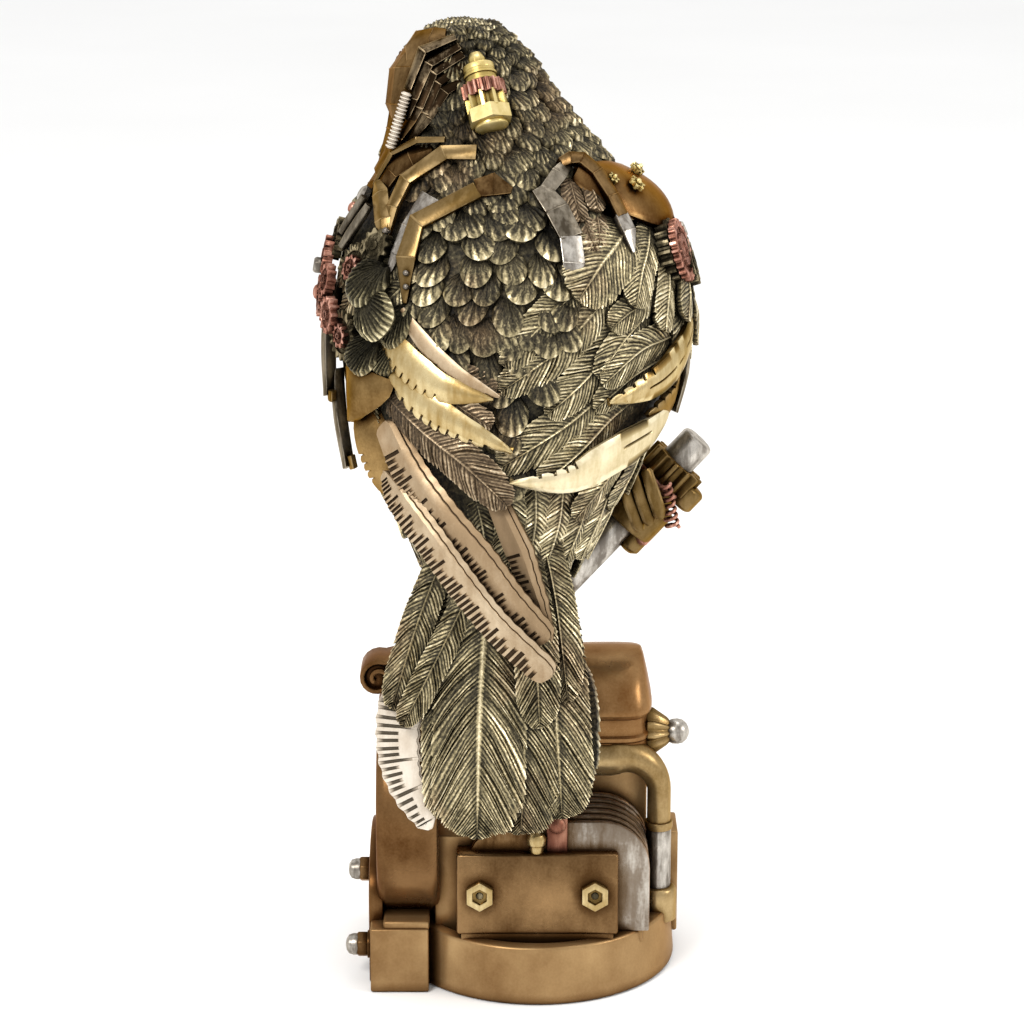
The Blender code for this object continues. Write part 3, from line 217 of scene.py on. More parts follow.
def metal_paint(name, stops, metallic, gloss, brushed, wash_and_shade=0.8, lumps=0.25, fade=None):
    """Metal paint: stops run from the wash and painted shade in the hollows to the brushed light edges.

    A fade (stops, from x, to x) lets a second set of colours take over along X, in millimetres.
    """
    n = Nodes(name)
    cloud = n.noise(CLOUDS, 4)
    grit = n.noise(GRAINS, 2)
    streak = n.noise(STREAKS, 3, 0.6, (1, 1, 0.22))
    # Ambient occlusion, weighted by wash_and_shade, darkens the level: the wash and painted shade in the
    # hollows and between parts.
    level = n.total(
        n.math("MULTIPLY", n.spread(n.hollow(PLATE_GAP_MM), 0.25, 0.95), wash_and_shade),
        n.spread(cloud, 0.3, 0.7, -0.12, 0.12),
        n.spread(streak, 0.35, 0.65, -0.5 * brushed, 0.5 * brushed),
        n.spread(grit, 0.3, 0.7, -0.02, 0.02), 1.0 - wash_and_shade - 0.18)
    cut = n.relief_and_shade()
    level = n.math("MULTIPLY", level, n.spread(cut, 0.1, 0.6, 0.1, 1.0))
    worn = n.math("MULTIPLY", n.spread(cut, 0.66, 1.0, 0.0, 0.5), n.spread(n.noise(WORN_SPOTS, 3), 0.38, 0.6))
    level = n.total(level, worn, clamp=True)
    colour = n.ramp(level, stops)
    if fade:
        others, start, end = fade
        split = n.add("ShaderNodeSeparateXYZ")
        n.feed(split.inputs[0], n.place)
        along = n.total(split.outputs["X"], n.spread(streak, 0.3, 0.7, -0.006, 0.006))
        colour = n.mix(n.spread(along, start * MM, end * MM), colour, n.ramp(level, others))
    brightest = stops[-1][1]
    tint = tuple(0.25 + 0.75 * (part / max(brightest)) ** 1.3 * 0.8 for part in brightest)
    n.shader.inputs["Specular IOR Level"].default_value = LACQUER
    n.shader.inputs["Specular Tint"].default_value = (*tint, 1)
    rough = n.spread(streak if brushed > 0.12 else cloud, 0.3, 0.7, gloss + 0.08, gloss - 0.06)
    return n.finish(colour, metallic, rough, n.bump(grit, 0.25, 0.06, n.bump(n.noise(LUMPS, 3), lumps, 0.35)))


def feather_paint(name, stops, metallic, gloss, warm=None):
    """The same over engraved feathers: relief and the engraver's strokes set the level.

    Warm is a second set of colours that shows through in soft patches.
    """
    n = Nodes(name)
    cut = n.relief_and_shade()
    split = n.add("ShaderNodeSeparateXYZ")
    n.feed(split.inputs[0], n.add("ShaderNodeUVMap", uv_map="strokes").outputs["UV"])
    wander = n.spread(n.noise(WANDERING, 2), 0.3, 0.7, -0.6, 0.6)
    wave = n.math("SINE", n.math("MULTIPLY", n.total(split.outputs["X"], wander), 2 * math.pi))
    wave = n.spread(wave, -1, 1)
    grit = n.noise(FEATHER_GRAINS, 2, 0.6)
    # Ambient occlusion darkens the feathers' level: painted shade in the gaps between feathers.
    open_air = n.spread(n.hollow(FEATHER_GAP_MM), 0.25, 0.9)
    level = n.total(n.math("MULTIPLY", cut, 0.8), n.math("MULTIPLY", wave, 0.14))
    level = n.math("MULTIPLY", level, n.total(n.math("MULTIPLY", open_air, 0.65), 0.35))
    level = n.total(level, n.spread(n.noise(FEATHER_CLOUDS, 4), 0.3, 0.7, -0.08, 0.12),
                    n.spread(grit, 0.3, 0.7, -0.10, 0.10), clamp=True)
    colour = n.ramp(level, stops)
    if warm:
        colour = n.mix(n.spread(n.noise(PATCHES, 4, 0.6), 0.50, 0.66), colour, n.ramp(level, warm))
    rough = n.spread(level, 0.1, 0.8, gloss + 0.25, gloss)
    return n.finish(colour, metallic, rough, n.bump(wave, 0.5, 0.12, n.bump(grit, 0.3, 0.08)))


def shades(*colours, at=(0.0, 0.4, 0.7, 1.0)):
    """Colour stops from colours in thousandths, from the wash and painted shade to the rubbed edge."""
    return tuple((place, tuple(part / 1000 for part in colour)) for place, colour in zip(at, colours))


ANTIQUE = shades((8, 7, 5), (62, 51, 28), (310, 257, 140), (650, 550, 340), (950, 860, 610),
    at=(0.0, 0.25, 0.5, 0.75, 1.0))
WARM = shades((10, 7, 4), (75, 50, 25), (280, 200, 110), (540, 420, 260), (880, 760, 540),
    at=(0.0, 0.25, 0.5, 0.75, 1.0))
BRONZE = shades((18, 8, 3), (105, 53, 18), (195, 108, 43), (400, 260, 120), at=(0.0, 0.35, 0.7, 1.0))
BROWN = shades((12, 5, 2), (78, 32, 9), (152, 66, 19), (440, 270, 120), at=(0.0, 0.35, 0.7, 1.0))
DRUM_BROWN = shades((6, 3, 1), (34, 13, 4), (68, 28, 7), (260, 145, 60), at=(0.0, 0.35, 0.7, 1.0))
PLATE_BROWN = shades((8, 4, 2), (32, 14, 4), (68, 32, 10), (300, 180, 80), at=(0.0, 0.35, 0.7, 1.0))
FIN_SILVER = shades((10, 5, 2), (48, 27, 12), (115, 74, 40), (220, 180, 140), (560, 520, 460),
    at=(0.0, 0.35, 0.65, 0.84, 1.0))
PAINT = {
    "antique": feather_paint("antique_brass_feathers", ANTIQUE, 0.75, 0.38, WARM),
    "gold_feather": feather_paint("gold_feathers", shades((20, 13, 6), (100, 66, 35), (340, 250, 150),
        (720, 600, 420), at=(0.0, 0.3, 0.6, 1.0)), 0.7, 0.36),
    "dark_feather": feather_paint("dark_shell_feathers", shades((7, 6, 3), (50, 42, 22), (230, 195, 105),
        (720, 630, 400), at=(0.0, 0.3, 0.6, 1.0)), 0.8, 0.36),
    "gold": metal_paint("pale_gold", shades((22, 12, 3), (168, 100, 28), (335, 228, 86), (660, 540, 300)),
        0.85, 0.3, 0.15),
    "strap_gold": metal_paint("strap_gold", shades((10, 5, 1), (50, 28, 8), (108, 65, 20), (320, 220, 100)),
        0.95, 0.32, 0.08),
    "side_gold": metal_paint("side_gold", shades((12, 6, 1), (46, 22, 6), (105, 56, 17), (460, 300, 120)),
        1.0, 0.27, 0.03, 0.75, 0.35),
    "nape_yellow": metal_paint("nape_yellow", shades((30, 18, 4), (270, 190, 55), (500, 375, 125),
        (860, 720, 380)), 0.8, 0.32, 0.1),
    "pipe_gold": metal_paint("pipe_gold", shades((14, 7, 2), (98, 55, 16), (200, 124, 44), (580, 430, 220)),
        0.85, 0.3, 0.05),
    "pale_gold": metal_paint("cream_gold", shades((30, 20, 8), (260, 190, 85), (500, 400, 215),
        (860, 760, 530)), 0.8, 0.34, 0.12),
    "cream": metal_paint("cream_brass", shades((16, 9, 5), (160, 104, 56), (295, 205, 118), (560, 450, 310)),
        0.6, 0.44, 0.08),
    "bronze": metal_paint("brown_bronze", shades((5, 3, 1), (20, 10, 3), (48, 24, 8), (280, 175, 75)), 0.98,
        0.33, 0.1),
    "shell_bronze": metal_paint("shell_bronze", shades((7, 3, 1), (33, 14, 4), (70, 31, 9), (290, 170, 65)),
        0.95, 0.32, 0.05, 0.8, 0.3),
    "louvre": metal_paint("dark_louvres", shades((2, 1, 1), (7, 4, 2), (17, 10, 5), (360, 270, 160),
        at=(0.0, 0.4, 0.8, 1.0)), 1.0, 0.36, 0.1),
    "grey_steel": metal_paint("grey_steel", shades((6, 5, 3), (30, 23, 15), (66, 53, 37), (300, 260, 200)),
        0.95, 0.33, 0.25),
    "silver": metal_paint("dull_silver", shades((14, 12, 10), (80, 67, 53), (185, 162, 136),
        (580, 540, 480)), 0.9, 0.3, 0.3),
    "copper": metal_paint("pink_copper", shades((20, 8, 6), (160, 65, 42), (360, 165, 115), (660, 380, 290)),
        0.75, 0.36, 0.5),
    "dark": metal_paint("blackened_brass", shades((6, 5, 4), (30, 25, 15), (100, 80, 45), (340, 280, 170),
        at=(0.0, 0.5, 0.8, 1.0)), 0.7, 0.4, 0.6),
    "bronze_paint": metal_paint("engine_bronze", BRONZE, 0.65, 0.34, 0.02, 0.7, 0.12),
    "engine_brown": metal_paint("engine_brown", BROWN, 0.65, 0.29, 0.02, 0.7, 0.12),
    "drum_brown": metal_paint("drum_brown", DRUM_BROWN, 0.65, 0.28, 0.02, 0.7, 0.12),
    "plate_brown": metal_paint("plate_brown", PLATE_BROWN, 0.75, 0.27, 0.03, 0.7, 0.15),
    "fin_paint": metal_paint("brushed_fins", PLATE_BROWN, 0.85, 0.34, 0.13, 0.8, 0.3, (FIN_SILVER, -6, 16)),
    "red_copper": metal_paint("red_copper", shades((20, 8, 5), (105, 36, 22), (200, 80, 50),
        (400, 200, 130)), 0.6, 0.42, 0.3),
    "white_metal": metal_paint("white_metal", shades((50, 40, 26), (340, 285, 220), (530, 455, 365),
        (760, 700, 610)), 0.3, 0.5, 0.12),
}
floor_paint = Nodes("pale_floor")
floor_paint.feed(floor_paint.shader.inputs["Base Color"], floor_paint.ramp(floor_paint.noise(3), (
    (0.3, (0.90, 0.90, 0.895)), (0.7, (0.93, 0.93, 0.925)))))
floor_paint.shader.inputs["Roughness"].default_value = 0.8
floor.data.materials.append(floor_paint.material)
print("finishes:", sorted(PAINT))

# %% [markdown]
# ## The bird's form
# The body is a stack of level ovals. Everything that lies on the bird is placed by two numbers: the
# turn in degrees, where 0 is the middle of the back and 90 the bird's right side, and the height. A
# table of the ovals every quarter millimetre makes it quick to place thousands of points at once.

# %% The bird's form
OVAL_STEP = 0.25
PATH_SAMPLES = 41
# height, middle in X and Y, half width, half depth
BODY = np.array((
    (106, -11, -25, 8, 6), (116, -11, -21, 15, 12), (127, -10.5, -16, 22.5, 18.5), (139, -9.5, -11, 29.5, 25),
    (151, -9, -7, 36, 31), (164, -8.5, -4, 41, 35), (178, -8, -1, 45, 37.5), (192, -8, 2, 46.5, 38.5),
    (205, -8, 5, 45, 37), (216, -9, 7.5, 41, 33.5), (226, -10.8, 9.5, 33.5, 29), (234, -12.8, 11, 28.5, 25.5),
    (242, -15.5, 12.5, 24.2, 23), (250, -18, 13.5, 21, 20.5), (257, -19.8, 14, 18, 17.5),
    (263, -20.8, 14, 13.5, 13.5), (267, -21, 14, 8.5, 8.5), (269, -21, 14, 3.5, 3.5)), dtype=float)


def oval_table():
    """Ovals at even heights, joined smoothly (cubic Hermite) between the given ones."""
    heights = np.arange(BODY[0, 0], BODY[-1, 0] + OVAL_STEP / 2, OVAL_STEP)
    slopes = np.gradient(BODY[:, 1:], BODY[:, 0], axis=0)
    k = np.clip(np.searchsorted(BODY[:, 0], heights, side="right") - 1, 0, len(BODY) - 2)
    gap = (BODY[k + 1, 0] - BODY[k, 0])[:, None]
    t = (heights[:, None] - BODY[k, 0][:, None]) / gap
    values = (2 * t**3 - 3 * t**2 + 1) * BODY[k, 1:] + (t**3 - 2 * t**2 + t) * gap * slopes[k]
    values += (3 * t**2 - 2 * t**3) * BODY[k + 1, 1:] + (t**3 - t**2) * gap * slopes[k + 1]
    return heights, values


OVAL_Z, OVALS = oval_table()


def skin(deg, z):
    """Points of the body's surface for arrays of turns and heights."""
    cx, cy, wide, deep = (np.interp(z, OVAL_Z, OVALS[:, i]) for i in range(4))
    turn = np.radians(deg)
    return np.stack([cx + wide * np.sin(turn), cy - deep * np.cos(turn), z], axis=-1)


def unit(vectors):
    return vectors / np.maximum(np.linalg.norm(vectors, axis=-1, keepdims=True), 1e-9)


def skin_slopes(deg, z):
    """How far the surface moves for one degree and for one millimetre of height."""
    low, high = np.maximum(z - 0.4, BODY[0, 0]), np.minimum(z + 0.4, BODY[-1, 0])
    per_degree = skin(deg + 0.5, z) - skin(deg - 0.5, z)
    per_height = (skin(deg, high) - skin(deg, low)) / (high - low)[..., None]
    return per_degree, per_height


def skin_normal(deg, z):
    per_degree, per_height = skin_slopes(deg, z)
    return unit(np.cross(per_degree, per_height))


def smooth_path(points):
    """A smooth curve through points, as evenly spread samples."""
    points = np.array(points, dtype=float)
    if len(points) == 2:
        return points[0] + (points[1] - points[0]) * np.linspace(0, 1, PATH_SAMPLES)[:, None]
    place = np.linspace(0, len(points) - 1, PATH_SAMPLES)
    i = np.minimum(place.astype(int), len(points) - 2)
    u = (place - i)[:, None]
    p0, p1, p2 = points[np.maximum(i - 1, 0)], points[i], points[i + 1]
    p3 = points[np.minimum(i + 2, len(points) - 1)]
    return 0.5 * (2 * p1 + (p2 - p0) * u + (2 * p0 - 5 * p1 + 4 * p2 - p3) * u**2
                  + (3 * p1 - p0 - 3 * p2 + p3) * u**3)


girth = skin(np.array([0.0, 90.0]), np.array([192.0, 192.0]))
print("back and right side at z 192:", girth.round(1).tolist())

# %% [markdown]
# ## Blanks and castings
# A feather, blade or strap is first cut flat, as a blank: u runs across, v along and h is height, all
# in millimetres. It is then laid along a path, either on the bird's skin or through open space. All
# blanks of one finish are collected and become one mesh, as they are one casting on the real object.

# %% Blanks and castings
PLAIN_RELIEF = 0.6


class Blank:
    """A flat closed shape: points (u, v, h), faces, relief and painted shade of each point and its stroke
    coordinate.
    """

    def __init__(self, points, faces, relief_and_shade=None, strokes=None, smooth=True):
        self.points = np.array(points, dtype=float)
        self.faces = faces
        count = len(points)
        self.relief_and_shade = np.full(count, PLAIN_RELIEF) if relief_and_shade is None else np.array(relief_and_shade, dtype=float)
        self.strokes = np.zeros(count) if strokes is None else np.array(strokes, dtype=float)
        self.smooth = smooth
        self.length = float(self.points[:, 1].max())


def turned_out(points, faces):
    """The faces of a closed shape, all turned outwards."""
    shape = bmesh.new()
    corners = [shape.verts.new(p) for p in points]
    for face in faces:
        shape.faces.new([corners[i] for i in face])
    bmesh.ops.recalc_face_normals(shape, faces=shape.faces)
    shape.verts.index_update()
    result = [tuple(v.index for v in face.verts) for face in shape.faces]
    shape.free()
    return result


def quads(rows):
    """Faces between neighbouring rows of point numbers."""
    return [(low[j], low[j + 1], high[j + 1], high[j]) for low, high in zip(rows, rows[1:])
            for j in range(len(low) - 1)]


def lofted(rings, sides):
    """Faces of a closed body from rings of points, with both ends capped."""
    faces = [tuple(range(sides))[::-1], tuple(range((rings - 1) * sides, rings * sides))]
    for k in range(rings - 1):
        low, high = k * sides, (k + 1) * sides
        faces += [(low + i, low + (i + 1) % sides, high + (i + 1) % sides, high + i)
                  for i in range(sides)]
    return faces


def new_object(name, points, faces):
    """A selected and active object from points in millimetres."""
    mesh = bpy.data.meshes.new(name)
    mesh.from_pydata((np.array(points, dtype=float) * MM).tolist(), [], faces)
    obj = bpy.data.objects.new(name, mesh)
    bpy.context.collection.objects.link(obj)
    bpy.ops.object.select_all(action="DESELECT")
    bpy.context.view_layer.objects.active = obj
    obj.select_set(True)
    return obj


def path_length(points):
    return float(np.linalg.norm(np.diff(points, axis=0), axis=-1).sum())


def lay_on_skin(blank, path, lifts, widen=1.0, bent=False):
    """Points of a blank laid along a path of (degrees, height); bent keeps the path's corners."""
    line = np.array(path, dtype=float) if bent else smooth_path(path)
    t = np.linspace(0, 1, len(line))
    share = np.clip(blank.points[:, 1] / blank.length, 0, 1)
    centre = skin(line[:, 0], line[:, 1])
    along = unit(np.gradient(centre, axis=0))
    per_degree, per_height = skin_slopes(line[:, 0], line[:, 1])
    side = unit(np.cross(unit(np.cross(per_degree, per_height)), along))
    dd, dh, hh, sd, sh = ((a * b).sum(-1) for a, b in (
        (per_degree, per_degree), (per_degree, per_height), (per_height, per_height),
        (side, per_degree), (side, per_height)))
    size = dd * hh - dh * dh
    turn, rise = (sd * hh - sh * dh) / size, (sh * dd - sd * dh) / size
    across = blank.points[:, 0] * widen
    deg = np.interp(share, t, line[:, 0]) + np.interp(share, t, turn) * across
    z = np.interp(share, t, line[:, 1]) + np.interp(share, t, rise) * across
    z = np.clip(z, BODY[0, 0] + 0.5, BODY[-1, 0] - 0.5)
    lift = np.interp(share, np.linspace(0, 1, len(lifts)), lifts) + blank.points[:, 2]
    return skin(deg, z) + skin_normal(deg, z) * lift[:, None]


def lay_in_space(blank, path, facing, lifts, curl=0.004):
    """The same along a path of (x, y, z), with the blank's upper side turned towards facing."""
    line = smooth_path(path)
    t = np.linspace(0, 1, len(line))
    share = np.clip(blank.points[:, 1] / blank.length, 0, 1)
    along = unit(np.gradient(line, axis=0))
    facing = np.array(facing, dtype=float)
    normal = unit(facing - along * (along @ facing)[:, None])
    side = np.cross(normal, along)

    def at(values):
        return np.stack([np.interp(share, t, values[:, i]) for i in range(3)], axis=-1)

    across = blank.points[:, 0]
    lift = np.interp(share, np.linspace(0, 1, len(lifts)), lifts) + blank.points[:, 2] - curl * across**2
    return at(line) + at(side) * across[:, None] + at(normal) * lift[:, None]


class Casting:
    """Collects laid blanks of one finish and turns them into one mesh."""

    def __init__(self, name, paint, slot="antique_brass"):
        self.name, self.paint, self.slot = name, paint, slot
        self.points, self.faces, self.relief_and_shade, self.strokes, self.smooth = [], [], [], [], []
        self.count = 0

    def add(self, blank, points, light=1.0):
        self.points.append(points)
        self.faces += [tuple(i + self.count for i in face) for face in blank.faces]
        self.smooth += [blank.smooth] * len(blank.faces)
        self.relief_and_shade.append(blank.relief_and_shade * light)
        self.strokes.append(blank.strokes)
        self.count += len(points)

    def make(self, crease_deg=35):
        obj = new_object(self.name, np.concatenate(self.points), self.faces)
        mesh = obj.data
        relief_and_shade = mesh.attributes.new("relief_and_shade", "FLOAT", "POINT")
        relief_and_shade.data.foreach_set("value", np.concatenate(self.relief_and_shade).astype(np.float32))
        corner = np.zeros(len(mesh.loops), dtype=np.int32)
        mesh.loops.foreach_get("vertex_index", corner)
        strokes = np.concatenate(self.strokes)[corner]
        uv = np.stack([strokes, np.zeros(len(corner))], axis=-1)
        mesh.uv_layers.new(name="strokes").data.foreach_set("uv", uv.ravel())
        mesh.polygons.foreach_set("use_smooth", np.array(self.smooth, dtype=bool))
        mesh.set_sharp_from_angle(angle=math.radians(crease_deg))
        mesh.materials.append(PAINT[self.paint])
        keep(obj)
        return obj


def keep(obj):
    """Puts a finished piece on the frame's one body."""
    if "relief_and_shade" not in obj.data.attributes:
        relief_and_shade = obj.data.attributes.new("relief_and_shade", "FLOAT", "POINT")
        relief_and_shade.data.foreach_set("value", [PLAIN_RELIEF] * len(obj.data.vertices))
    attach(obj, "root")
    triangles = sum(len(face.vertices) - 2 for face in obj.data.polygons)
    print(f"{obj.name}: {triangles} triangles")

# %% [markdown]
# ## Feather blanks
# Under the paint each feather is engraved: a raised shaft, and barbs that sweep from it towards the
# tip. A grid whose lines run along the barbs needs few points, because every second line is simply
# lowered into a groove. No operator gives such a grid, so these two blanks are built point by point.
# The small round feathers repeat hundreds of times, so each has only a few dozen faces.

# %% Feather blanks
# How far out along a barb its points lie, and how much of the groove's depth each one gets.
BARB_STATIONS = ((0.08, 0.3), (0.3, 1.0), (0.55, 1.05), (0.78, 1.0), (0.93, 0.85), (1.0, 0.5))
BARB_BEND = 1.3
REACH_STEP = 0.02
STROKE_STEP, FAN_STROKE_STEP = 0.61, 0.9
SPLIT_CHANCE = 0.16
FULL_TURN = 6.28
FAN_DEG = 112  # how far the strokes of a round feather fan out to each side
# The same for the rings of a round feather: share, height, depth of the strokes, relief and shade, groove's
# relief. The relief is low at the root, painted shade where the row above covers it, and high at the rubbed
# rim.
SCALLOP_RINGS = ((0.14, 0.3, 0.2, 0.01, 0.05), (0.5, 0.95, 1.0, 0.10, 0.05), (0.84, 1.0, 1.0, 0.52, 0.08),
                 (1.0, 0.35, 0.5, 1.0, 0.34))


def close_under(points, relief_and_shade, strokes, faces, rim, thick, pull=0.88):
    """Gives an open sheet a wall below its rim and a flat underside."""
    first = len(points)
    for i in rim:
        u, v, h = points[i]
        points.append((u * pull, v, h - thick))
        relief_and_shade.append(0.0)
        strokes.append(strokes[i])
    count = len(rim)
    for k in range(count):
        j = (k + 1) % count
        faces.append((rim[k], rim[j], first + j, first + k))
    faces.append(tuple(range(first + count - 1, first - 1, -1)))


def plume(length, width, seed=1, pitch=1.15, sweep=0.95, groove=0.2, rib=0.4, crown=0.7, thick=1.5,
          tip=0.72, root=0.6):
    """A long feather with a rounded end."""
    rng = random.Random(seed)
    half = width / 2
    lines = max(int(length / pitch * 2), 8)

    def outline(v):
        t = v / length
        swell = root + (1 - root) * min(t / 0.5, 1) ** 0.8
        return half * swell * (math.sqrt(max(1 - ((t - tip) / (1 - tip)) ** 2, 0)) if t > tip else 1)

    def leaning(start):
        return sweep * (0.75 + 1.15 * (start / length) ** 2.5)

    def reach(start):
        share = 0.0
        while share < 1:
            further = share + REACH_STEP
            if further * half >= outline(min(start + leaning(start) * half * further**BARB_BEND, length)):
                break
            share = further
        return share

    points, relief_and_shade, strokes, sides = [], [], [], {-1: [], 1: []}
    phase = rng.uniform(0, FULL_TURN)
    drift = {-1: 0.0, 1: 0.0}
    for k in range(lines + 1):
        inner = 0.99 * length / lines
        start = inner * (k + (0.3 * rng.uniform(-1, 1) if 0 < k < lines else 0))
        # grow rises from 5 to 35 per cent of the length: it raises the shaft and lowers the relief at the
        # root, painted shade where the feathers above cover it.
        grow = min(max((start / length - 0.05) / 0.3, 0), 1)
        shaft = len(points)
        points.append((0, start, crown + rib * (0.5 + 0.5 * grow)))
        relief_and_shade.append(0.85 * (0.3 + 0.7 * grow))
        strokes.append(k * STROKE_STEP)
        clump = 0.75 + 0.4 * math.sin(k * 0.55 + phase)
        for side in (-1, 1):
            raised = k % 2
            strength = rng.uniform(0.3, 1.3) * clump
            split = (not raised) and rng.random() < SPLIT_CHANCE
            far = reach(start) * (1.0 if raised else 0.95 - 0.14 * split)
            drift[side] = 0.8 * drift[side] + rng.uniform(-0.05, 0.05)
            lean = leaning(start) * (1 + drift[side])
            row = [shaft]
            for share, rise in BARB_STATIONS:
                f = share * far
                u = side * f * half
                wave = 0.6 * inner * math.sin(f * 7 + k * 0.35 * side + phase) * share
                v = min(start + lean * half * f**BARB_BEND + wave, length * 0.999)
                cut = groove * rise * (strength if raised else -strength - 1.4 * split)
                row.append(len(points))
                points.append((u, v, crown * (1 - f * f * 0.9) + cut))
                shade = 0.36 + 0.62 * strength if raised else 0.03 + 0.05 * rng.random()
                # Lower at the root: painted shade under the covering feathers.
                shade *= 0.3 + 0.7 * grow
                shade *= 0.4 if share < 0.2 else rng.uniform(0.8, 1.15)
                relief_and_shade.append(shade + (0.22 * grow if share > 0.95 else 0))
                strokes.append(k * STROKE_STEP)
            sides[side].append(row)
    faces = quads(sides[-1]) + quads(sides[1])
    right, left = sides[1], sides[-1]
    rim = [row[-1] for row in right] + right[-1][-2::-1] + left[-1][1:] + [row[-1] for row in left[-2::-1]]
    rim += left[0][-2:0:-1] + [right[0][0]] + right[0][1:-1]
    close_under(points, relief_and_shade, strokes, faces, rim, thick)
    return Blank(points, turned_out(points, faces), relief_and_shade, strokes)


def round_feather(length, width, seed=1, ridges=7, groove=0.22, crown=2.1, thick=2.0):
    """A short feather like a scallop shell: its strokes fan out from the root to a round rim."""
    rng = random.Random(seed)
    lines = 2 * ridges
    middle = length * rng.uniform(0.48, 0.56)
    points, relief_and_shade, strokes, columns = [], [], [], []
    for i in range(lines + 1):
        raised = i % 2 == ridges % 2
        strength = rng.uniform(0.5, 1.25)
        turn = math.radians(FAN_DEG * (2 * i / lines - 1 + rng.uniform(-0.25, 0.25) / lines))
        rim_u, rim_v = math.sin(turn) * width / 2, middle + math.cos(turn) * (length - middle)
        side = abs(i / ridges - 1)
        column = []
        for share, dome, depth, shade, sunk in SCALLOP_RINGS:
            cut = groove * depth * strength * (1 if raised else -1)
            height = crown * dome * (1 - 0.35 * side * side) + cut
            column.append(len(points))
            points.append((rim_u * share, rim_v * share, height))
            # Darker towards the sides: painted shade where the neighbouring feathers overlap.
            shade *= rng.uniform(0.6, 1.2) * (1 - 0.5 * side**3)
            relief_and_shade.append(shade * (0.45 + 0.6 * strength if raised else sunk))
            strokes.append(i * FAN_STROKE_STEP)
        columns.append(column)
    faces = quads(columns)
    rim = columns[0] + [column[-1] for column in columns[1:]]
    rim += columns[-1][-2::-1] + [column[0] for column in columns[-2:0:-1]]
    close_under(points, relief_and_shade, strokes, faces, rim, thick, 0.8)
    return Blank(points, turned_out(points, faces), relief_and_shade, strokes)


print("faces of a long and a round feather:", len(plume(60, 26).faces), len(round_feather(9, 8).faces))

# %% [markdown]
# ## The dark body under the feathers
# Between the feathers one sees down to the body, which is almost black: the wash and painted shade of the
# gaps.
# It is a plain skin lofted through the ovals, a little below the surface on which the feathers lie. It also
# stands for the CAD solid of the crow, which every later piece covers with its own detail.

# %% The dark body under the feathers
CORE_RINGS = 44
CORE_SIDES = 60
# Nearly black relief: the wash and painted shade of the gaps between feathers.
CORE_WASH_AND_SHADE = 0.01


def body_core():
    z = np.linspace(BODY[0, 0], BODY[-1, 0], CORE_RINGS)
    deg = np.arange(CORE_SIDES) * 360 / CORE_SIDES
    points = np.concatenate([skin(deg, np.full(CORE_SIDES, height)) for height in z])
    casting = Casting("body_core", "antique")
    faces = turned_out(points, lofted(CORE_RINGS, CORE_SIDES))
    casting.add(Blank(points, faces, np.full(len(points), CORE_WASH_AND_SHADE)), points)
    return casting.make()


core = body_core()
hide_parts("crow")

# %% [markdown]
# ## Rows of round feathers
# Small round feathers cover the crown, the nape and the middle of the back in rows, like roof tiles:
# each row starts under the one above and is shifted by half a feather. Rows are spaced along the
# surface and not by height, or they would crowd together on top of the head. The breast, which the
# photo does not show, gets larger ones of the same kind.

# %% Rows of round feathers
RANDOM = random.Random(11)
OVERLAP = 0.9
STRAY_DEG, RADIAN_DEG = 24, 57


def arc_heights(top, bottom, pitch, deg):
    """Heights between two limits, evenly spaced along the surface at one turn."""
    z = np.linspace(top, bottom, 200)
    line = skin(np.full(200, float(deg)), z)
    run = np.concatenate([[0], np.cumsum(np.linalg.norm(np.diff(line, axis=0), axis=-1))])
    rows = max(int(round(run[-1] / pitch)), 1)
    return np.interp(np.linspace(0, run[-1], rows + 1), run, z)


def feather_rows(casting, top, bottom, at_top, at_bottom, width, pitch, length, swing, lift, light=1.0):
    """Rows from top to bottom between two limits in degrees, which change from at_top to at_bottom."""
    blanks = [round_feather(length, width, seed) for seed in range(6)]
    heights = arc_heights(top, bottom, pitch, sum(at_top) / 2)
    for row, z in enumerate(heights):
        share = row / max(len(heights) - 1, 1)
        low, high = (a + (b - a) * share for a, b in zip(at_top, at_bottom))
        wide, deep = (np.interp(z, OVAL_Z, OVALS[:, i]) for i in (2, 3))
        step = math.degrees(width * OVERLAP / ((wide + deep) / 2))
        count = max(int(round((high - low) / step)), 1)
        step = (high - low) / count
        for k in range(count + (row % 2 == 0)):
            deg = low + step * (k + (0 if row % 2 == 0 else 0.5)) + RANDOM.uniform(-0.09, 0.09) * step
            start = z + RANDOM.uniform(-0.12, 0.12) * pitch
            sideways, fall = (np.linalg.norm(v[0]) for v in skin_slopes(np.array([deg]), np.array([start])))
            drop = length / max(fall, 0.2)
            slant = (swing + RANDOM.uniform(-STRAY_DEG, STRAY_DEG)) / RADIAN_DEG * length / sideways
            end = max(start - drop * RANDOM.uniform(0.98, 1.16), BODY[0, 0] + 1)
            path = [(deg, min(start, BODY[-1, 0] - 1)), (deg + slant, end)]
            tilt = lift + RANDOM.uniform(-0.5, 1.3)
            blank = RANDOM.choice(blanks)
            points = lay_on_skin(blank, path, (-1.2, 0.1, tilt), RANDOM.uniform(0.86, 1.08))
            casting.add(blank, points, light * RANDOM.uniform(0.68, 1.15))


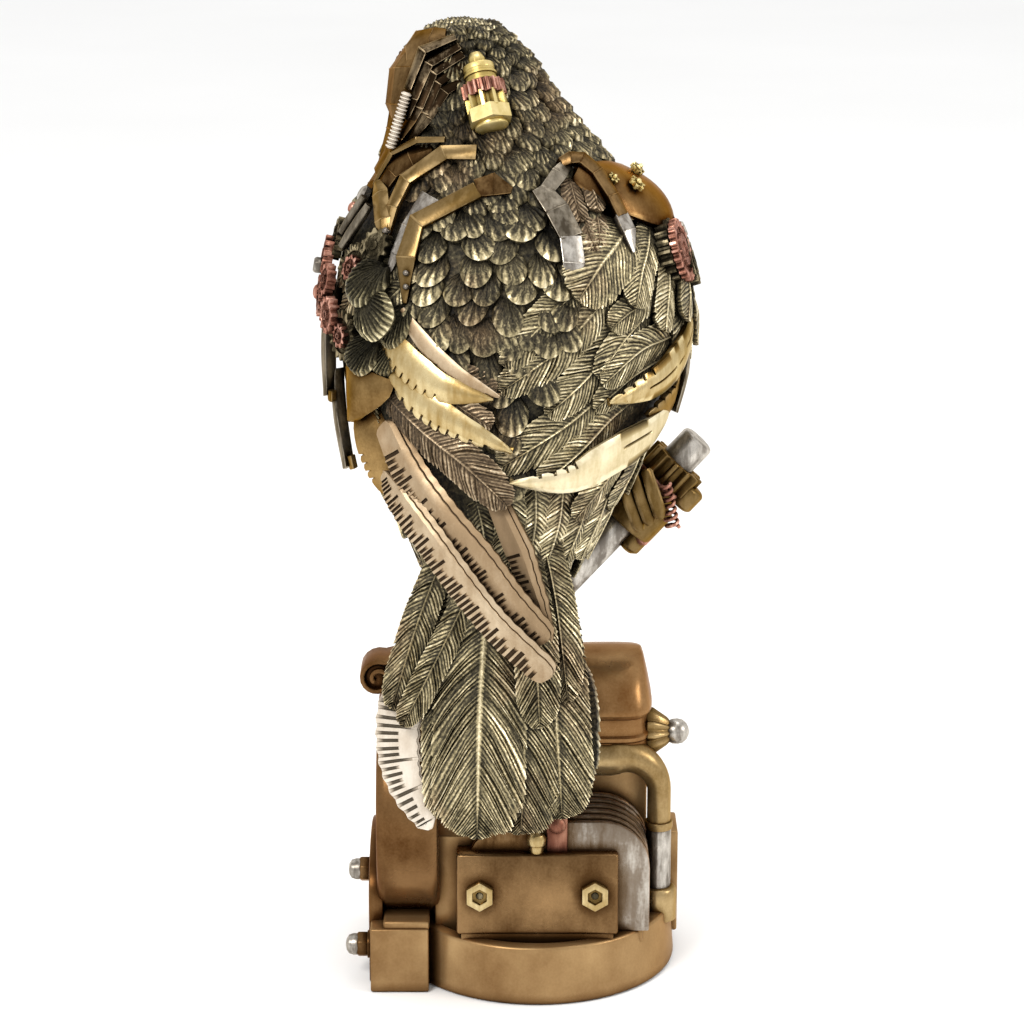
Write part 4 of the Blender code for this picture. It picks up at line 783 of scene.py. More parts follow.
small = Casting("round_feathers", "antique")
for zone in (
        # top, bottom, degrees at the top and at the bottom, width, pitch, length, swing, lift, light
        (268.2, 262, (-20, 184), (-16, 184), 5.2, 3.0, 6.2, 4, -0.2, 1.35),
        (261, 240, (-6, 184), (-10, 184), 6.4, 4.2, 8.2, 6, 0.0, 1.35),
        (264, 233, (184, 236), (184, 262), 7.0, 4.6, 8.4, -4, 0.0),
        (254, 240, (-36, -4), (-44, -12), 6.4, 4.0, 7.6, 0, 0.4, 0.6),
        (239, 226, (-44, 196), (-30, 196), 8.4, 5.0, 9.8, 4, 0.3, 1.2),
        (224, 199, (-36, 25), (-32, 22), 9.2, 6.3, 11.2, 0, 2.0, 1.05),
        (198, 160, (-30, 14), (-10, 2), 9.2, 6.3, 11.2, 0, 2.0, 1.05)):
    feather_rows(small, *zone)
# The crown's last patch lies on its flattened top, where turns and heights no longer serve.
for row in range(7):
    for k in range(5):
        x = -28.5 + 3.5 * k + 1.75 * (row % 2) + RANDOM.uniform(-0.4, 0.4)
        y = 21.0 - 2.5 * row + RANDOM.uniform(-0.4, 0.4)
        root, tip = (np.array((x, v, 269.0 - 0.03 * ((x + 21) ** 2 + (v - 14) ** 2)))
                     for v in (y + 2.4, y - 3.2))
        blank = round_feather(5.6, 5.2, 40 + row, crown=1.3)
        points = lay_in_space(blank, [root, tip], (0, -0.1, 1), (-0.8, 0.2))
        small.add(blank, points, RANDOM.uniform(0.8, 1.15))
small.make(50)
breast = Casting("breast_feathers", "antique")
feather_rows(breast, 228, 132, (112, 252), (120, 240), 11.5, 7.8, 14.5, 0, 1.6)
feather_rows(breast, 250, 229, (180, 222), (180, 230), 8.5, 5.6, 10.0, 0, 1.3)
breast.make(50)

# %% [markdown]
# ## Wing, rump and tail feathers
# The long feathers are laid one by one along their own paths, read off the photo as turns and heights.
# Each is engraved afresh, so that no two have the same strokes, as on a hand-carved original.

# %% Wing, rump and tail feathers
RIGHT_WING = (
    # path of the shaft, width, lifts at root and tip
    ([(54, 218), (46, 214.5), (32, 208), (21.5, 200)], 17.5, (0.4, 3.0, 4.4)),
    ([(70, 216), (60, 212), (49, 205), (43, 197)], 10.5, (0, 2.0, 3.4)),
    ([(74, 210), (67, 203), (61, 196), (57.5, 189.5)], 9.5, (0, 2.0, 3.4)),
    ([(62, 204), (52, 198.5), (41.5, 195.8), (33.5, 192.5)], 8.8, (0, 1.6, 2.8)),
    ([(80, 202), (76, 193), (69, 182)], 10, (0, 2.0, 3.4)),
    ([(84, 208), (82, 200), (79, 191)], 9.5, (0, 2.4, 3.8)),
    ([(36, 209), (23.6, 203.5), (11.5, 195.2), (-2.0, 184.5)], 11, (-0.8, 1.2, 2.7)),
    ([(45, 203), (33.7, 200.3), (16.4, 188.5), (-3, 177.6)], 11.5, (-0.8, 1.0, 2.5)),
    ([(52, 198), (38, 192.2), (27.3, 181.2), (13, 171.5)], 11.5, (-0.8, 1.0, 2.5)),
    ([(30, 206), (16, 200), (6, 193), (-3, 189)], 8, (-0.8, 0.6, 1.7)),
    ([(54, 195), (46.8, 192.6), (38.2, 188.2), (29, 180.5)], 9, (-0.2, 1.5, 2.9)),
    ([(76, 190), (67.3, 187.4), (47.2, 186), (31, 178.5)], 10, (0, 1.8, 3.2)),
    ([(74, 183), (60, 182), (44, 179), (30, 172)], 9.5, (0, 1.4, 2.6)),
    ([(40, 180), (32, 174.2), (18.8, 166.9), (-3, 157)], 12.5, (-0.8, 0.9, 2.3)),
    ([(52, 172), (40, 168), (28, 160), (14, 152)], 11.5, (-0.8, 0.9, 2.0)),
    ([(66, 164), (56, 158), (46, 149), (36, 141)], 10, (-0.8, 0.8, 1.8)),
    ([(80, 160), (72, 150), (62, 141)], 10, (-0.8, 0.8, 1.8)),
    ([(98, 200), (92, 192), (85.5, 179)], 9, (1.0, 3.6, 4.4)),
    ([(98, 203), (98, 195), (95, 186)], 10, (2.2, 4.6, 5.6)),
    ([(80, 205), (76, 198), (70, 191)], 9, (2.4, 4.2, 5.0)),
    ([(92, 196), (92, 190), (91, 182)], 8, (3.2, 5.4, 6.0)),
    ([(96, 210), (103, 196), (109, 177)], 15, (-0.8, 1.2, 3.0)),
    ([(96, 194), (103, 178), (106, 158)], 14, (-0.8, 1.2, 3.0)),
    ([(91, 176), (94, 160), (93, 142)], 12.5, (-0.8, 1.0, 2.8)),
    ([(112, 208), (118, 192), (121, 172)], 14, (-0.8, 1.0, 2.6)),
    ([(112, 186), (116, 170), (117, 150)], 13, (-0.8, 1.0, 2.4)),
)
LEFT_WING = (
    ([(-40, 213), (-45, 207.4), (-53, 201.5), (-63.5, 193.3)], 10, (-0.4, 2.2, 3.8)),
    ([(-33, 208), (-37, 203), (-44, 196.3), (-48, 188)], 11, (-0.6, 2.0, 3.6)),
    ([(-46, 194), (-50, 187.5), (-61, 180)], 7.5, (-0.2, 1.8, 3.2)),
    ([(-30, 203), (-34, 195), (-31, 187), (-26, 181)], 8, (-0.8, 1.0, 2.0)),
    ([(-26, 196), (-26, 189), (-19, 180)], 7.5, (-0.8, 0.8, 1.6)),
    ([(-98, 218), (-104, 206), (-109, 180)], 15, (-0.8, 1.2, 3.0)),
    ([(-96, 196), (-103, 180), (-107, 158)], 14, (-0.8, 1.2, 3.0)),
    ([(-90, 174), (-96, 160), (-99, 140)], 12.5, (-0.8, 1.0, 2.8)),
    ([(-114, 210), (-119, 194), (-122, 174)], 14, (-0.8, 1.0, 2.6)),
    ([(-112, 188), (-116, 172), (-118, 152)], 13, (-0.8, 1.0, 2.4)),
    ([(-76, 160), (-74, 148), (-66, 133)], 10.5, (-0.8, 0.8, 2.4)),
    ([(-72, 188), (-72, 176), (-70, 162)], 12, (-0.8, 0.6, 1.4)),
    ([(-60, 186), (-62, 174), (-61, 162)], 11, (-0.8, 0.6, 1.4)),
    ([(-64, 168), (-63, 156), (-58, 142)], 11, (-0.8, 0.6, 1.4)),
    ([(-50, 158), (-51, 146), (-49, 132)], 11, (-0.8, 0.6, 1.4)),
    ([(-38, 148), (-41, 136), (-41, 122)], 10, (-0.8, 0.6, 1.4)),
    ([(-56, 146), (-55, 134), (-52, 120)], 10, (-0.8, 0.6, 1.4)),
)
RUMP = [([(deg - 4, top), (deg, top - drop * 0.5), (deg + 1, top - drop)], 9.5, (-0.8, 0.9, 2.2))
        for deg, top, drop in ((4, 155, 27), (16, 154, 29), (29, 153, 27), (43, 153, 25), (58, 152, 24),
                               (-9, 147, 27), (74, 150, 23), (-24, 142, 24), (10, 137, 24), (24, 137, 24),
                               (38, 136, 22), (52, 135, 20))]
THIGH = [([(deg, top), (deg + 1, top - 13), (deg, top - 25)], 10.5, (-0.8, 0.8, 2.2))
         for top, shift in ((146, 0), (136, 10)) for deg in range(92 + shift, 268, 20)]


def length_on_skin(path):
    line = smooth_path(path)
    return path_length(skin(line[:, 0], line[:, 1]))


def lay_feathers(name, rows, seed, paint="antique", light=1.0, **cut):
    casting = Casting(name, paint)
    for k, (path, width, lifts) in enumerate(rows):
        blank = plume(length_on_skin(path), width, seed + k, **cut)
        casting.add(blank, lay_on_skin(blank, path, lifts), light * (0.9 + 0.2 * (k % 3) / 2))
    return casting.make(40)


lay_feathers("right_wing_feathers", RIGHT_WING, 100, light=1.1)
lay_feathers("left_wing_feathers", LEFT_WING, 200)
lay_feathers("rump_feathers", RUMP, 300, light=1.25)
lay_feathers("thigh_feathers", THIGH, 400)

TAIL_FACING = (-0.05, -1, 0.28)
TAIL = (
    # path in space, width, share of the length where the round end starts, lift
    ([(-4, -33.5, 119), (-3.6, -40, 88), (-4.6, -46, 54)], 21, 0.8, 0.0),
    ([(-13, -33, 125), (-15.6, -39.5, 93), (-16.6, -48, 53.6)], 27, 0.78, 0.7),
    ([(-22, -33, 112), (-22.5, -39.5, 88), (-22, -45.5, 57)], 20, 0.8, 0.0),
    ([(0, -31.5, 131), (4.0, -37, 98), (6.8, -44, 58)], 19.8, 0.78, 0.9),
    ([(1, -30.5, 136), (5.0, -33.8, 117), (8.4, -38.6, 90)], 11.4, 0.72, 2.0),
    ([(-5, -33, 134), (-1, -38, 110), (0.6, -42.6, 84)], 13, 0.72, 1.4),
    ([(-23.4, -27, 134), (-32.2, -34, 113), (-40, -38.8, 88)], 9.8, 0.75, 0.6),
    ([(-16, -31.5, 125), (-27, -37.2, 103), (-37, -42, 84)], 8.6, 0.75, 1.2),
    ([(-18, -28, 122), (-27.5, -34, 102), (-35, -37.5, 86)], 13, 0.75, -0.6),
)


def lay_tail():
    casting = Casting("tail_feathers", "antique")
    for k, (path, width, tip, lift) in enumerate(TAIL):
        blank = plume(path_length(path), width, 500 + k, pitch=1.25, sweep=1.25, groove=0.26, rib=0.55,
                      crown=0.9, thick=2.2, tip=tip, root=0.75)
        casting.add(blank, lay_in_space(blank, path, TAIL_FACING, (lift, lift)), 0.98 + 0.1 * (k % 3))
    for k, x in enumerate((-24, -13, -2, 9)):
        path = [(-11 + x * 0.3, -22, 116), (x, -31.5, 92), (x * 1.1, -39.5, 62)]
        blank = plume(56, 14, 540 + k, pitch=1.4, thick=1.6)
        casting.add(blank, lay_in_space(blank, path, (0, 1, -0.2), (1.0, 1.0)))
    return casting.make(40)


lay_tail()

# %% [markdown]
# ## Blades, straps and plates
# The left wing is clockwork: saw blades, bent straps and rulers. Each starts as a flat grid that is
# pulled to its outline. Solidify gives it thickness and Bevel gives it the worn edge that catches the
# light. Only then is it laid on the bird, so the curve of the body bends it as a hand would.

# %% Blades, straps and plates
EDGE_SHINE = 1.0
WORN_EDGE_DEG = 38
BEND_SPACING = 10.0


def plate(rows, thickness=1.7, crown=0.3, bevel=0.3, columns=4, smooth=True, slots=()):
    """A flat plate. Rows are (v, left, right, notch on the left): half widths and a cut in the left edge.

    Columns is a count or the shares of the width where they lie. Slots (from v, to v, share) are
    pressed in along one column and get the lowest relief, painted shade inside the slot.
    """
    shares = columns if isinstance(columns, tuple) else tuple(np.linspace(0, 1, columns + 1))
    bpy.ops.mesh.primitive_grid_add(x_subdivisions=len(shares) - 1, y_subdivisions=len(rows) - 1, size=2)
    obj = bpy.context.object
    xs, ys = (sorted({round(v.co[axis], 4) for v in obj.data.vertices}) for axis in (0, 1))
    for vert in obj.data.vertices:
        i = xs.index(round(vert.co.x, 4))
        v, left, right, notch = rows[ys.index(round(vert.co.y, 4))]
        share = shares[i]
        u = -left + (left + right) * share + (notch if i == 0 else 0)
        pressed = any(start <= v <= end and share == at for start, end, at in slots)
        vert.co = (u, v, crown * (1 - (2 * share - 1) ** 2) - (0.9 if pressed else 0))
    solid = obj.modifiers.new("thickness", "SOLIDIFY")
    solid.thickness = thickness
    solid.offset = -1
    edge = obj.modifiers.new("edge", "BEVEL")
    edge.width = bevel
    edge.segments = 2
    edge.limit_method = "ANGLE"
    edge.angle_limit = math.radians(WORN_EDGE_DEG)
    for modifier in ("thickness", "edge"):
        bpy.ops.object.modifier_apply(modifier=modifier)
    points = [tuple(v.co) for v in obj.data.vertices]
    blank = Blank(points, [tuple(f.vertices) for f in obj.data.polygons], smooth=smooth)
    height = blank.points[:, 2]
    blank.relief_and_shade[(height < 0.02) & (height > -0.75 * bevel)] = EDGE_SHINE
    # The slots' floor gets relief 0: painted shade inside the pressed slot.
    for start, end, at in slots:
        low = crown * (1 - (2 * at - 1) ** 2) - 0.75
        inside = (blank.points[:, 1] >= start - 0.01) & (blank.points[:, 1] <= end + 0.01)
        blank.relief_and_shade[inside & (height < low) & (height > low - 0.4)] = 0.0
    bpy.data.objects.remove(obj, do_unlink=True)
    return blank


def at_share(values, t):
    return float(np.interp(t, np.linspace(0, 1, len(values)), values))


def blade(length, widths, teeth=0, bite=1.2, toothed=(0.1, 0.9), step=2.2, **form):
    """A blade of changing width whose left edge carries saw teeth over part of its length."""
    marks = {round(t, 4): 0.0 for t in np.linspace(0, 1, max(int(length / step), 4) + 1)}
    if teeth:
        start, end = toothed
        pitch = (end - start) / teeth
        marks = {t: cut for t, cut in marks.items() if t < start or t > end}
        for k in range(teeth):
            for share, cut in ((0.0, bite), (0.14, bite * 0.35), (0.5, 0.0), (0.9, 0.0)):
                marks[round(start + pitch * (k + share), 4)] = cut
    rows = []
    for t in sorted(marks):
        half = at_share(widths, t) / 2
        rows.append((t * length, half, half, min(marks[t], half * 0.9)))
    return plate(rows, **form)


def strap(widths, **form):
    """A strap with one row of points at each bend."""
    rows = []
    for k, width in enumerate(widths):
        near = (0.0,) if k in (0, len(widths) - 1) else (-0.3, 0.0, 0.3)
        rows += [(BEND_SPACING * k + step, width / 2, width / 2, 0) for step in near]
    blank = plate(rows, smooth=False, columns=2, **form)
    from_bend = np.abs((blank.points[:, 1] + BEND_SPACING / 2) % BEND_SPACING - BEND_SPACING / 2)
    inner = (blank.points[:, 1] > 1) & (blank.points[:, 1] < blank.length - 1)
    at_bend = inner & (from_bend < 0.05) & (blank.points[:, 2] > -0.3)
    blank.points[at_bend, 2] += 0.18
    blank.relief_and_shade[at_bend] = EDGE_SHINE
    return blank


def lay_straps(name, paint, rows):
    casting = Casting(name, paint)
    for path, widths, lifts, *form in rows:
        blank = strap(widths, **dict(*form))
        casting.add(blank, lay_on_skin(blank, path, lifts, bent=True))
    return casting.make(25)


def lay_blades(name, paint, rows):
    casting = Casting(name, paint)
    for path, widths, lifts, *form in rows:
        blank = blade(length_on_skin(path), widths, **dict(*form))
        casting.add(blank, lay_on_skin(blank, path, lifts))
    return casting.make(30)


SLOTTED = (0.0, 0.2, 0.34, 0.38, 0.42, 0.47, 0.51, 0.55, 0.75, 1.0)
THICK = {"thickness": 3}
# Each row of the straps and blades: path on the skin, widths, lifts and the rest of its form.
lay_straps("gold_straps", "strap_gold", (
    ([(-6, 236.4), (-22.6, 236), (-43.4, 228), (-47, 220.8), (-46, 213)], (4.2, 4.4, 4.0, 3.6, 0.8),
        (3.6, 4.6, 4.8, 4.2, 3.2)),
    ([(-8.4, 226.8), (-33, 218.1), (-35.4, 209.6), (-35, 198.6)], (4.8, 5.2, 5.6, 1.4), (4.4, 4.8, 4.4, 3.2)),
    ([(-21, 239.4), (-37.5, 238.8), (-55.4, 234.2), (-66, 225)], (1.6, 1.9, 1.9, 1.4), (4.6, 5.0, 5.0, 4.0)),
    ([(-63, 226), (-57, 223.4), (-49.5, 217.6), (-46.6, 211.8)], (2.6, 5.4, 5.0, 1.0), (4.2, 4.4, 4.0, 3.0),
        {"crown": 0.6}),
))
lay_straps("bronze_straps", "bronze", (
    ([(6.5, 227), (-1, 228.2), (-9, 227)], (2.0, 6.6, 5.2), (2.8, 4.0, 4.4)),
    ([(-30, 237), (-44, 234.5), (-57, 230), (-62, 223)], (4, 6.5, 8, 5), (2.6, 3.4, 3.8, 3.2),
        {"crown": 0.7}),
    ([(-96, 228), (-90, 224.2), (-88, 217.4), (-91, 208)], (10, 12, 13, 8), (0.4, 1.0, 1.4, 0.8),
        {"crown": 0.9, **THICK}),
    ([(38, 229), (45, 225), (48, 219), (44, 213)], (4, 11, 12, 6), (1.4, 1.8, 1.8, 1.2), {"crown": 0.4}),
    ([(34, 232.2), (38, 232.4), (43.6, 231.6), (47.6, 228), (47.8, 222), (47.4, 217.8)],
        (3.0, 3.8, 4.0, 4.0, 3.8, 3.6),
     (4.4, 6.2, 7.0, 7.0, 6.4, 5.4), THICK),
))
lay_straps("grey_straps", "grey_steel", (
    ([(40, 232.4), (30, 229.6), (17.5, 224.6)], (3.0, 4.4, 3.6), (4.2, 4.8, 4.0)),
    ([(18.5, 227), (21.6, 221.4), (23.2, 214.6)], (4.6, 6.4, 6.2), (4.2, 4.8, 4.8)),
))
lay_straps("silver_straps", "silver", (
    ([(22.8, 214.9), (21.9, 208.6), (19.6, 203)], (5.8, 5.8, 1.4), (4.8, 4.6, 3.4)),
    ([(-30, 225), (-37.2, 216.9), (-40.8, 210.2), (-44, 204.6)], (7, 4.6, 3.2, 1.4), (2.8, 3.2, 3.2, 2.6)),
    ([(80, 199.5), (87, 190)], (8, 6), (3.8, 4.2), {"crown": 0.6}),
    ([(47.5, 218.2), (47.2, 214.6), (46.5, 209.6)], (4.0, 4.2, 0.8), (5.2, 5.0, 4.0), THICK),
))
lay_blades("gold_blades", "gold", (
    ([(-43, 191), (-33.4, 184.2), (-21.2, 178.7), (-4.6, 176.2)], (5.0, 8.8, 9.2, 6.8, 0.8),
        (3.0, 4.6, 5.4, 5.4),
     {"teeth": 9, "toothed": (0.08, 0.72), "bite": 1.7, "crown": 0.8}),
    ([(-41, 180), (-27, 173.2), (-14.7, 168.5), (2, 162.6)], (4.5, 8.0, 8.2, 5.8, 0.6), (3.0, 5.0, 5.6, 5.8),
     {"teeth": 10, "toothed": (0.1, 0.9), "bite": 1.7, "crown": 0.8}),
    ([(86, 189.5), (74, 184.5), (55, 178), (33.5, 174)], (2.4, 8.6, 9.4, 7.4, 0.6), (3.6, 5.0, 5.6, 5.2),
     {"teeth": 4, "toothed": (0.70, 0.95), "bite": 1.6, "crown": 0.8, "columns": SLOTTED, "step": 1.0,
      "slots": ((8, 17, 0.38), (20, 21.5, 0.51), (24, 32, 0.51))}),
))
lay_blades("pale_gold_blade", "pale_gold", (
    ([(76, 166), (58, 163.5), (40, 159.5), (24, 154.6), (1.5, 154.2)], (6.0, 9.0, 10.6, 9.8, 6.6, 0.6),
        (3.6, 5.4, 6.0, 6.0, 5.4),
     {"teeth": 4, "toothed": (0.70, 0.92), "bite": 2.0, "crown": 0.8, "columns": SLOTTED, "step": 1.0,
      "slots": ((14, 23, 0.38),)}),
))
lay_blades("brown_blades", "strap_gold", (
    ([(-83, 172), (-84, 169)], (7.5, 6.5), (6.4, 7.0), {"crown": 0.6}),
    ([(-80, 155), (-80, 151.6)], (7, 6), (6.8, 7.2), {"crown": 0.6}),
    ([(88, 178), (76, 170.5), (56, 168)], (4, 8.4, 7.4, 1.6), (3.0, 4.4, 4.0),
        {"teeth": 5, "toothed": (0.4, 0.95), "bite": 0.9}),
))
casting = Casting("side_plates", "side_gold")
path = [(-50, 181), (-53, 176.5), (-58, 171.5), (-63, 166.5)]
blank = blade(length_on_skin(path), (17, 18, 13.5, 8.5, 2.5), thickness=2.6, bevel=0.5, columns=6, crown=1.4)
casting.add(blank, lay_on_skin(blank, path, (3.4, 4.6, 5.4, 5.8)))
path = [(-46.0, -22, 169), (-44.4, -24.5, 161.8), (-42.2, -25.5, 156.1), (-39.8, -26, 151.0),
    (-37.0, -26, 145.6)]
blank = blade(29.5, (9, 12.4, 13.6, 14, 14, 12.6, 8), teeth=4, toothed=(0.4, 0.8), bite=1.4, thickness=2.6,
    bevel=0.5, columns=6, crown=1.2)
casting.add(blank, lay_in_space(blank, path, (-0.35, -1, 0.15), (0, 0), 0.02))
casting.make(30)
lay_blades("pale_blade", "cream", (
    ([(-36, 197), (-25, 188.2), (-14, 181.4), (-2.8, 176.8)], (2, 4.2, 4.4, 3.6, 0.6), (3.2, 4.2, 5.2, 5.6),
        {"teeth": 6, "bite": 0.8, "toothed": (0.45, 0.95)}),
))
lay_blades("grey_blades", "grey_steel", (
    ([(87, 185), (85, 177), (83, 166)], (6, 7, 5.8, 3), (3.0, 5.0, 5.6), {"crown": 0.7, **THICK}),
    ([(-87, 176), (-86, 165), (-83, 152)], (6, 8.4, 8, 5), (3.6, 6.4, 8.6), {"crown": 0.9, **THICK}),
    ([(-86, 199), (-88, 186), (-86.5, 170)], (7, 10, 10, 6), (1.6, 4.8, 7.6), {"crown": 1.0, **THICK}),
))
gold_leaf = [([(-44, 174), (-30, 166.5), (-15, 158.8), (1.5, 147.8)], 12, (2.0, 4.4, 5.6)),
             ([(-36, 170), (-24, 162), (-8, 152)], 9, (1.6, 3.6, 4.4)),
             ([(-22, 177), (-14, 173), (-5, 169)], 7, (2.4, 4.2, 5.0)),
             ([(-20, 184), (-12, 181), (-4, 177.5)], 7, (1.6, 2.6, 3.4)),
             ([(36, 229), (32, 224), (29, 218)], 6.5, (2.0, 3.0, 3.4)),
             ([(43, 227), (42, 223.5), (38, 220)], 6, (2.6, 3.4, 3.8)),
             ([(33, 222), (31, 216.5), (31, 211)], 6, (1.6, 2.8, 3.4)),
             ([(40, 221), (36, 216.5), (33, 212.5)], 7.5, (1.6, 2.6, 3.2))]
lay_feathers("gold_wing_feathers", gold_leaf, 600, "gold_feather", pitch=1.2, root=0.6)

# %% [markdown]
# ## Rulers
# Two long rulers hang down from the left wing. Their graduations are cut into the metal, so the grid
# of a ruler has rows of its own for every tick: between two of them the points near the edge are
# pressed down, each tick as far in as it is long. There are no numerals.

# %% Rulers
TICK_DEPTH = 0.5
TICK_SHARES = (0.0, 0.18, 0.34, 0.48)


def ruler(length, widths, pitch=1.5, ridge=0.62, seed=1, thickness=1.8, first=4.0, column=0, chips=0.25):
    """A ruler with ticks from one column inwards, a low ridge and a fine line nearer its right edge."""
    rng = random.Random(seed)
    rows = [(step, 0) for step in (0.0, 0.3, 0.9, 1.9, 3.2)]
    v = first
    tick = 0
    while v < length - 3.5:
        depth = 3 if tick % 5 == 0 else (2 if rng.random() < 0.5 else 1)
        rows += [(v, 0), (v + 0.12, depth), (v + 0.84, depth), (v + 0.96, 0)]
        v += pitch * rng.uniform(0.82, 1.2)
        tick += 1
    rows += [(length - step, 0) for step in (3.2, 2.2, 1.3, 0.6, 0.15, 0)]
    shares = TICK_SHARES + (0.52, ridge, 0.80, 0.83, 0.86, 1.0)
    points, relief_and_shade, lines = [], [], []
    for v, depth in rows:
        rounding = max(1 - max(1 - min(length - v, v) / 3.6, 0) ** 2, 0.06)
        width = at_share(widths, v / length) * math.sqrt(rounding) + chips * math.sin(v * 1.7 + seed)
        line = []
        for i, share in enumerate(shares):
            height = 0.75 * max(1 - abs(share - ridge) / 0.3, 0)
            height -= 0.15 * (share in (0.0, 1.0)) + 0.25 * (share == 0.83)
            pressed = depth and column <= i <= column + depth
            line.append(len(points))
            points.append(((share - 0.5) * width, v, height - (TICK_DEPTH if pressed else 0)))
            relief_and_shade.append(0.02 if pressed else (0.15 if share == 0.83 else 0.62))
        lines.append(line)
    faces = quads(lines)
    rim = [line[-1] for line in lines] + lines[-1][-2::-1]
    rim += [line[0] for line in lines[-2::-1]] + lines[0][1:-1]
    close_under(points, relief_and_shade, [0.0] * (len(points) + len(rim)), faces, rim, thickness, 0.97)
    return Blank(points, turned_out(points, faces), relief_and_shade, smooth=False)


RULER_FACING = (-0.35, -1, 0.3)
RULERS = (
    ([(-41, -29.5, 167), (-34.6, -35.5, 154.5), (-26, -41.5, 143.5), (-16, -45.5, 132.5), (-7.5, -47, 121.5),
        (2.4, -47.5, 110.5)],
     (7.0, 9.8, 10.6, 10.6, 10.2, 9.4, 8.0), {"seed": 3, "first": 9}),
    ([(-41.6, -30, 153), (-36.3, -37, 146), (-28.2, -43.5, 136.5), (-19.5, -47, 125), (-10, -48.5, 113.5),
        (3.4, -49.5, 101)],
     (2.2, 8.2, 9.0, 9.0, 9.0, 8.8, 8.8, 7.8), {"seed": 4, "ridge": 0.7}),
    ([(-13.5, -36.5, 152), (-6.5, -42, 138), (-1.5, -44, 124), (3.8, -45.5, 110)], (5, 8, 7.6, 6, 0.8),
        {"seed": 5, "first": 20}),
)
casting = Casting("rulers", "cream")
for (path, widths, form), light in zip(RULERS, (0.85, 1.1, 0.85)):
    blank = ruler(path_length(smooth_path(path)), widths, **form)
    casting.add(blank, lay_in_space(blank, path, RULER_FACING, (0.8, 0.8), 0.0), light)
casting.make(30)
casting = Casting("broken_ruler", "white_metal")
path = [(-30, -32.5, 107), (-37.6, -36.5, 88), (-37.4, -39.8, 70), (-29.6, -43.2, 54.5)]
blank = ruler(55, (9, 12, 12.5, 11.5, 9, 4), pitch=1.9, ridge=0.95, seed=8, first=14, thickness=2.2,
    column=1, chips=0.5)
casting.add(blank, lay_in_space(blank, path, TAIL_FACING, (0.4, 0.4), 0.0))
casting.make(30)

# %% [markdown]
# ## Turned parts, cogs and tubes
# Nuts, bolts, knobs and cogs are modelled standing upright at the origin and then put in their place.
# A turned part is a circle that is extruded and scaled ring by ring. A cog is a cylinder whose sides
# are pulled in and out to make teeth, with its face inset and pressed down.

# %% Turned parts, cogs and tubes


UPWARD, FORWARD, RIGHTWARD, LEFTWARD = (0, 0, 1), (0, 1, 0), (1, 0, 0), (-1, 0, 0)


def stand(obj, place, axis):
    """Puts an upright part at a place in millimetres, its Z turned to an axis, with the move in its mesh."""
    turn = Vector(axis).to_track_quat("Z", "Y").to_matrix().to_4x4()
    obj.data.transform(Matrix.Translation(Vector(place) * MM) @ turn)
    return obj


def close_shape():
    """Turns the faces of the edited part outwards and leaves edit mode."""
    bpy.ops.mesh.select_all(action="SELECT")
    bpy.ops.mesh.normals_make_consistent(inside=False)
    bpy.ops.object.mode_set(mode="OBJECT")


def pull_teeth(obj, teeth, factor, beyond_mm=0.0):
    """Draws every second pair of columns of a round wall to the axis, which leaves teeth between them."""
    for vert in obj.data.vertices:
        turn = math.atan2(vert.co.y, vert.co.x) / (2 * math.pi) * teeth * 4
        if math.hypot(vert.co.x, vert.co.y) > beyond_mm * MM and round(turn) % 4 in (0, 3):
            vert.co.x *= factor
            vert.co.y *= factor


def soften(obj, width_mm, segments=2, angle_deg=35):
    """Rounds the edges of a part and shades it."""
    if width_mm:
        edge = obj.modifiers.new("edge", "BEVEL")
        edge.width = width_mm * MM
        edge.segments = segments
        edge.limit_method = "ANGLE"
        edge.angle_limit = math.radians(angle_deg)
        bpy.ops.object.modifier_apply(modifier="edge")
    bpy.ops.object.shade_smooth_by_angle(angle=math.radians(angle_deg))
    return obj


def turned(profile, sides, edge=0.0):
    """A turned part from (height, radius) pairs in millimetres, standing on its first ring."""
    height, radius = profile[0]
    foot = (0, 0, height * MM)
    bpy.ops.mesh.primitive_circle_add(vertices=sides, radius=radius * MM, fill_type="NGON", location=foot)
    obj = bpy.context.object
    bpy.ops.object.transform_apply(location=True)
    bpy.ops.object.mode_set(mode="EDIT")
    for next_height, next_radius in profile[1:]:
        step = (0, 0, (next_height - height) * MM)
        bpy.ops.mesh.extrude_region_move(TRANSFORM_OT_translate={"value": step})
        factor = next_radius / radius
        bpy.ops.transform.resize(value=(factor, factor, 1), center_override=(0, 0, next_height * MM))
        height, radius = next_height, next_radius
    close_shape()
    return soften(obj, edge)


def cog(outer, root, teeth, thick, hub=0.35, well=0.5, edge=0.15):
    """A spur cog: teeth pulled out of a cylinder, a sunken face, a raised hub with a hole."""
    middle = (0, 0, thick * MM / 2)
    bpy.ops.mesh.primitive_cylinder_add(vertices=teeth * 4, radius=outer * MM, depth=thick * MM,
        location=middle)
    obj = bpy.context.object
    bpy.ops.object.transform_apply(location=True)
    pull_teeth(obj, teeth, root / outer)
    for face in obj.data.polygons:
        face.select = face.normal.z > 0.9
    bpy.ops.object.mode_set(mode="EDIT")
    bpy.ops.mesh.select_mode(type="FACE")
    for share, height in ((0.84, 0.0), (0.8, -well), (hub, -well), (hub * 0.94, well * 0.6),
                          (hub * 0.5, well * 0.6), (hub * 0.46, -well * 0.6)):
        bpy.ops.mesh.extrude_region_move(TRANSFORM_OT_translate={"value": (0, 0, 0)})
        shape = bmesh.from_edit_mesh(obj.data)
        for vert in (v for v in shape.verts if v.select):
            spoke = math.atan2(vert.co.y, vert.co.x)
            reach = root * share * MM
            vert.co = (reach * math.cos(spoke), reach * math.sin(spoke), (thick + height) * MM)
        bmesh.update_edit_mesh(obj.data)
    close_shape()
    return soften(obj, edge, 1, 40)


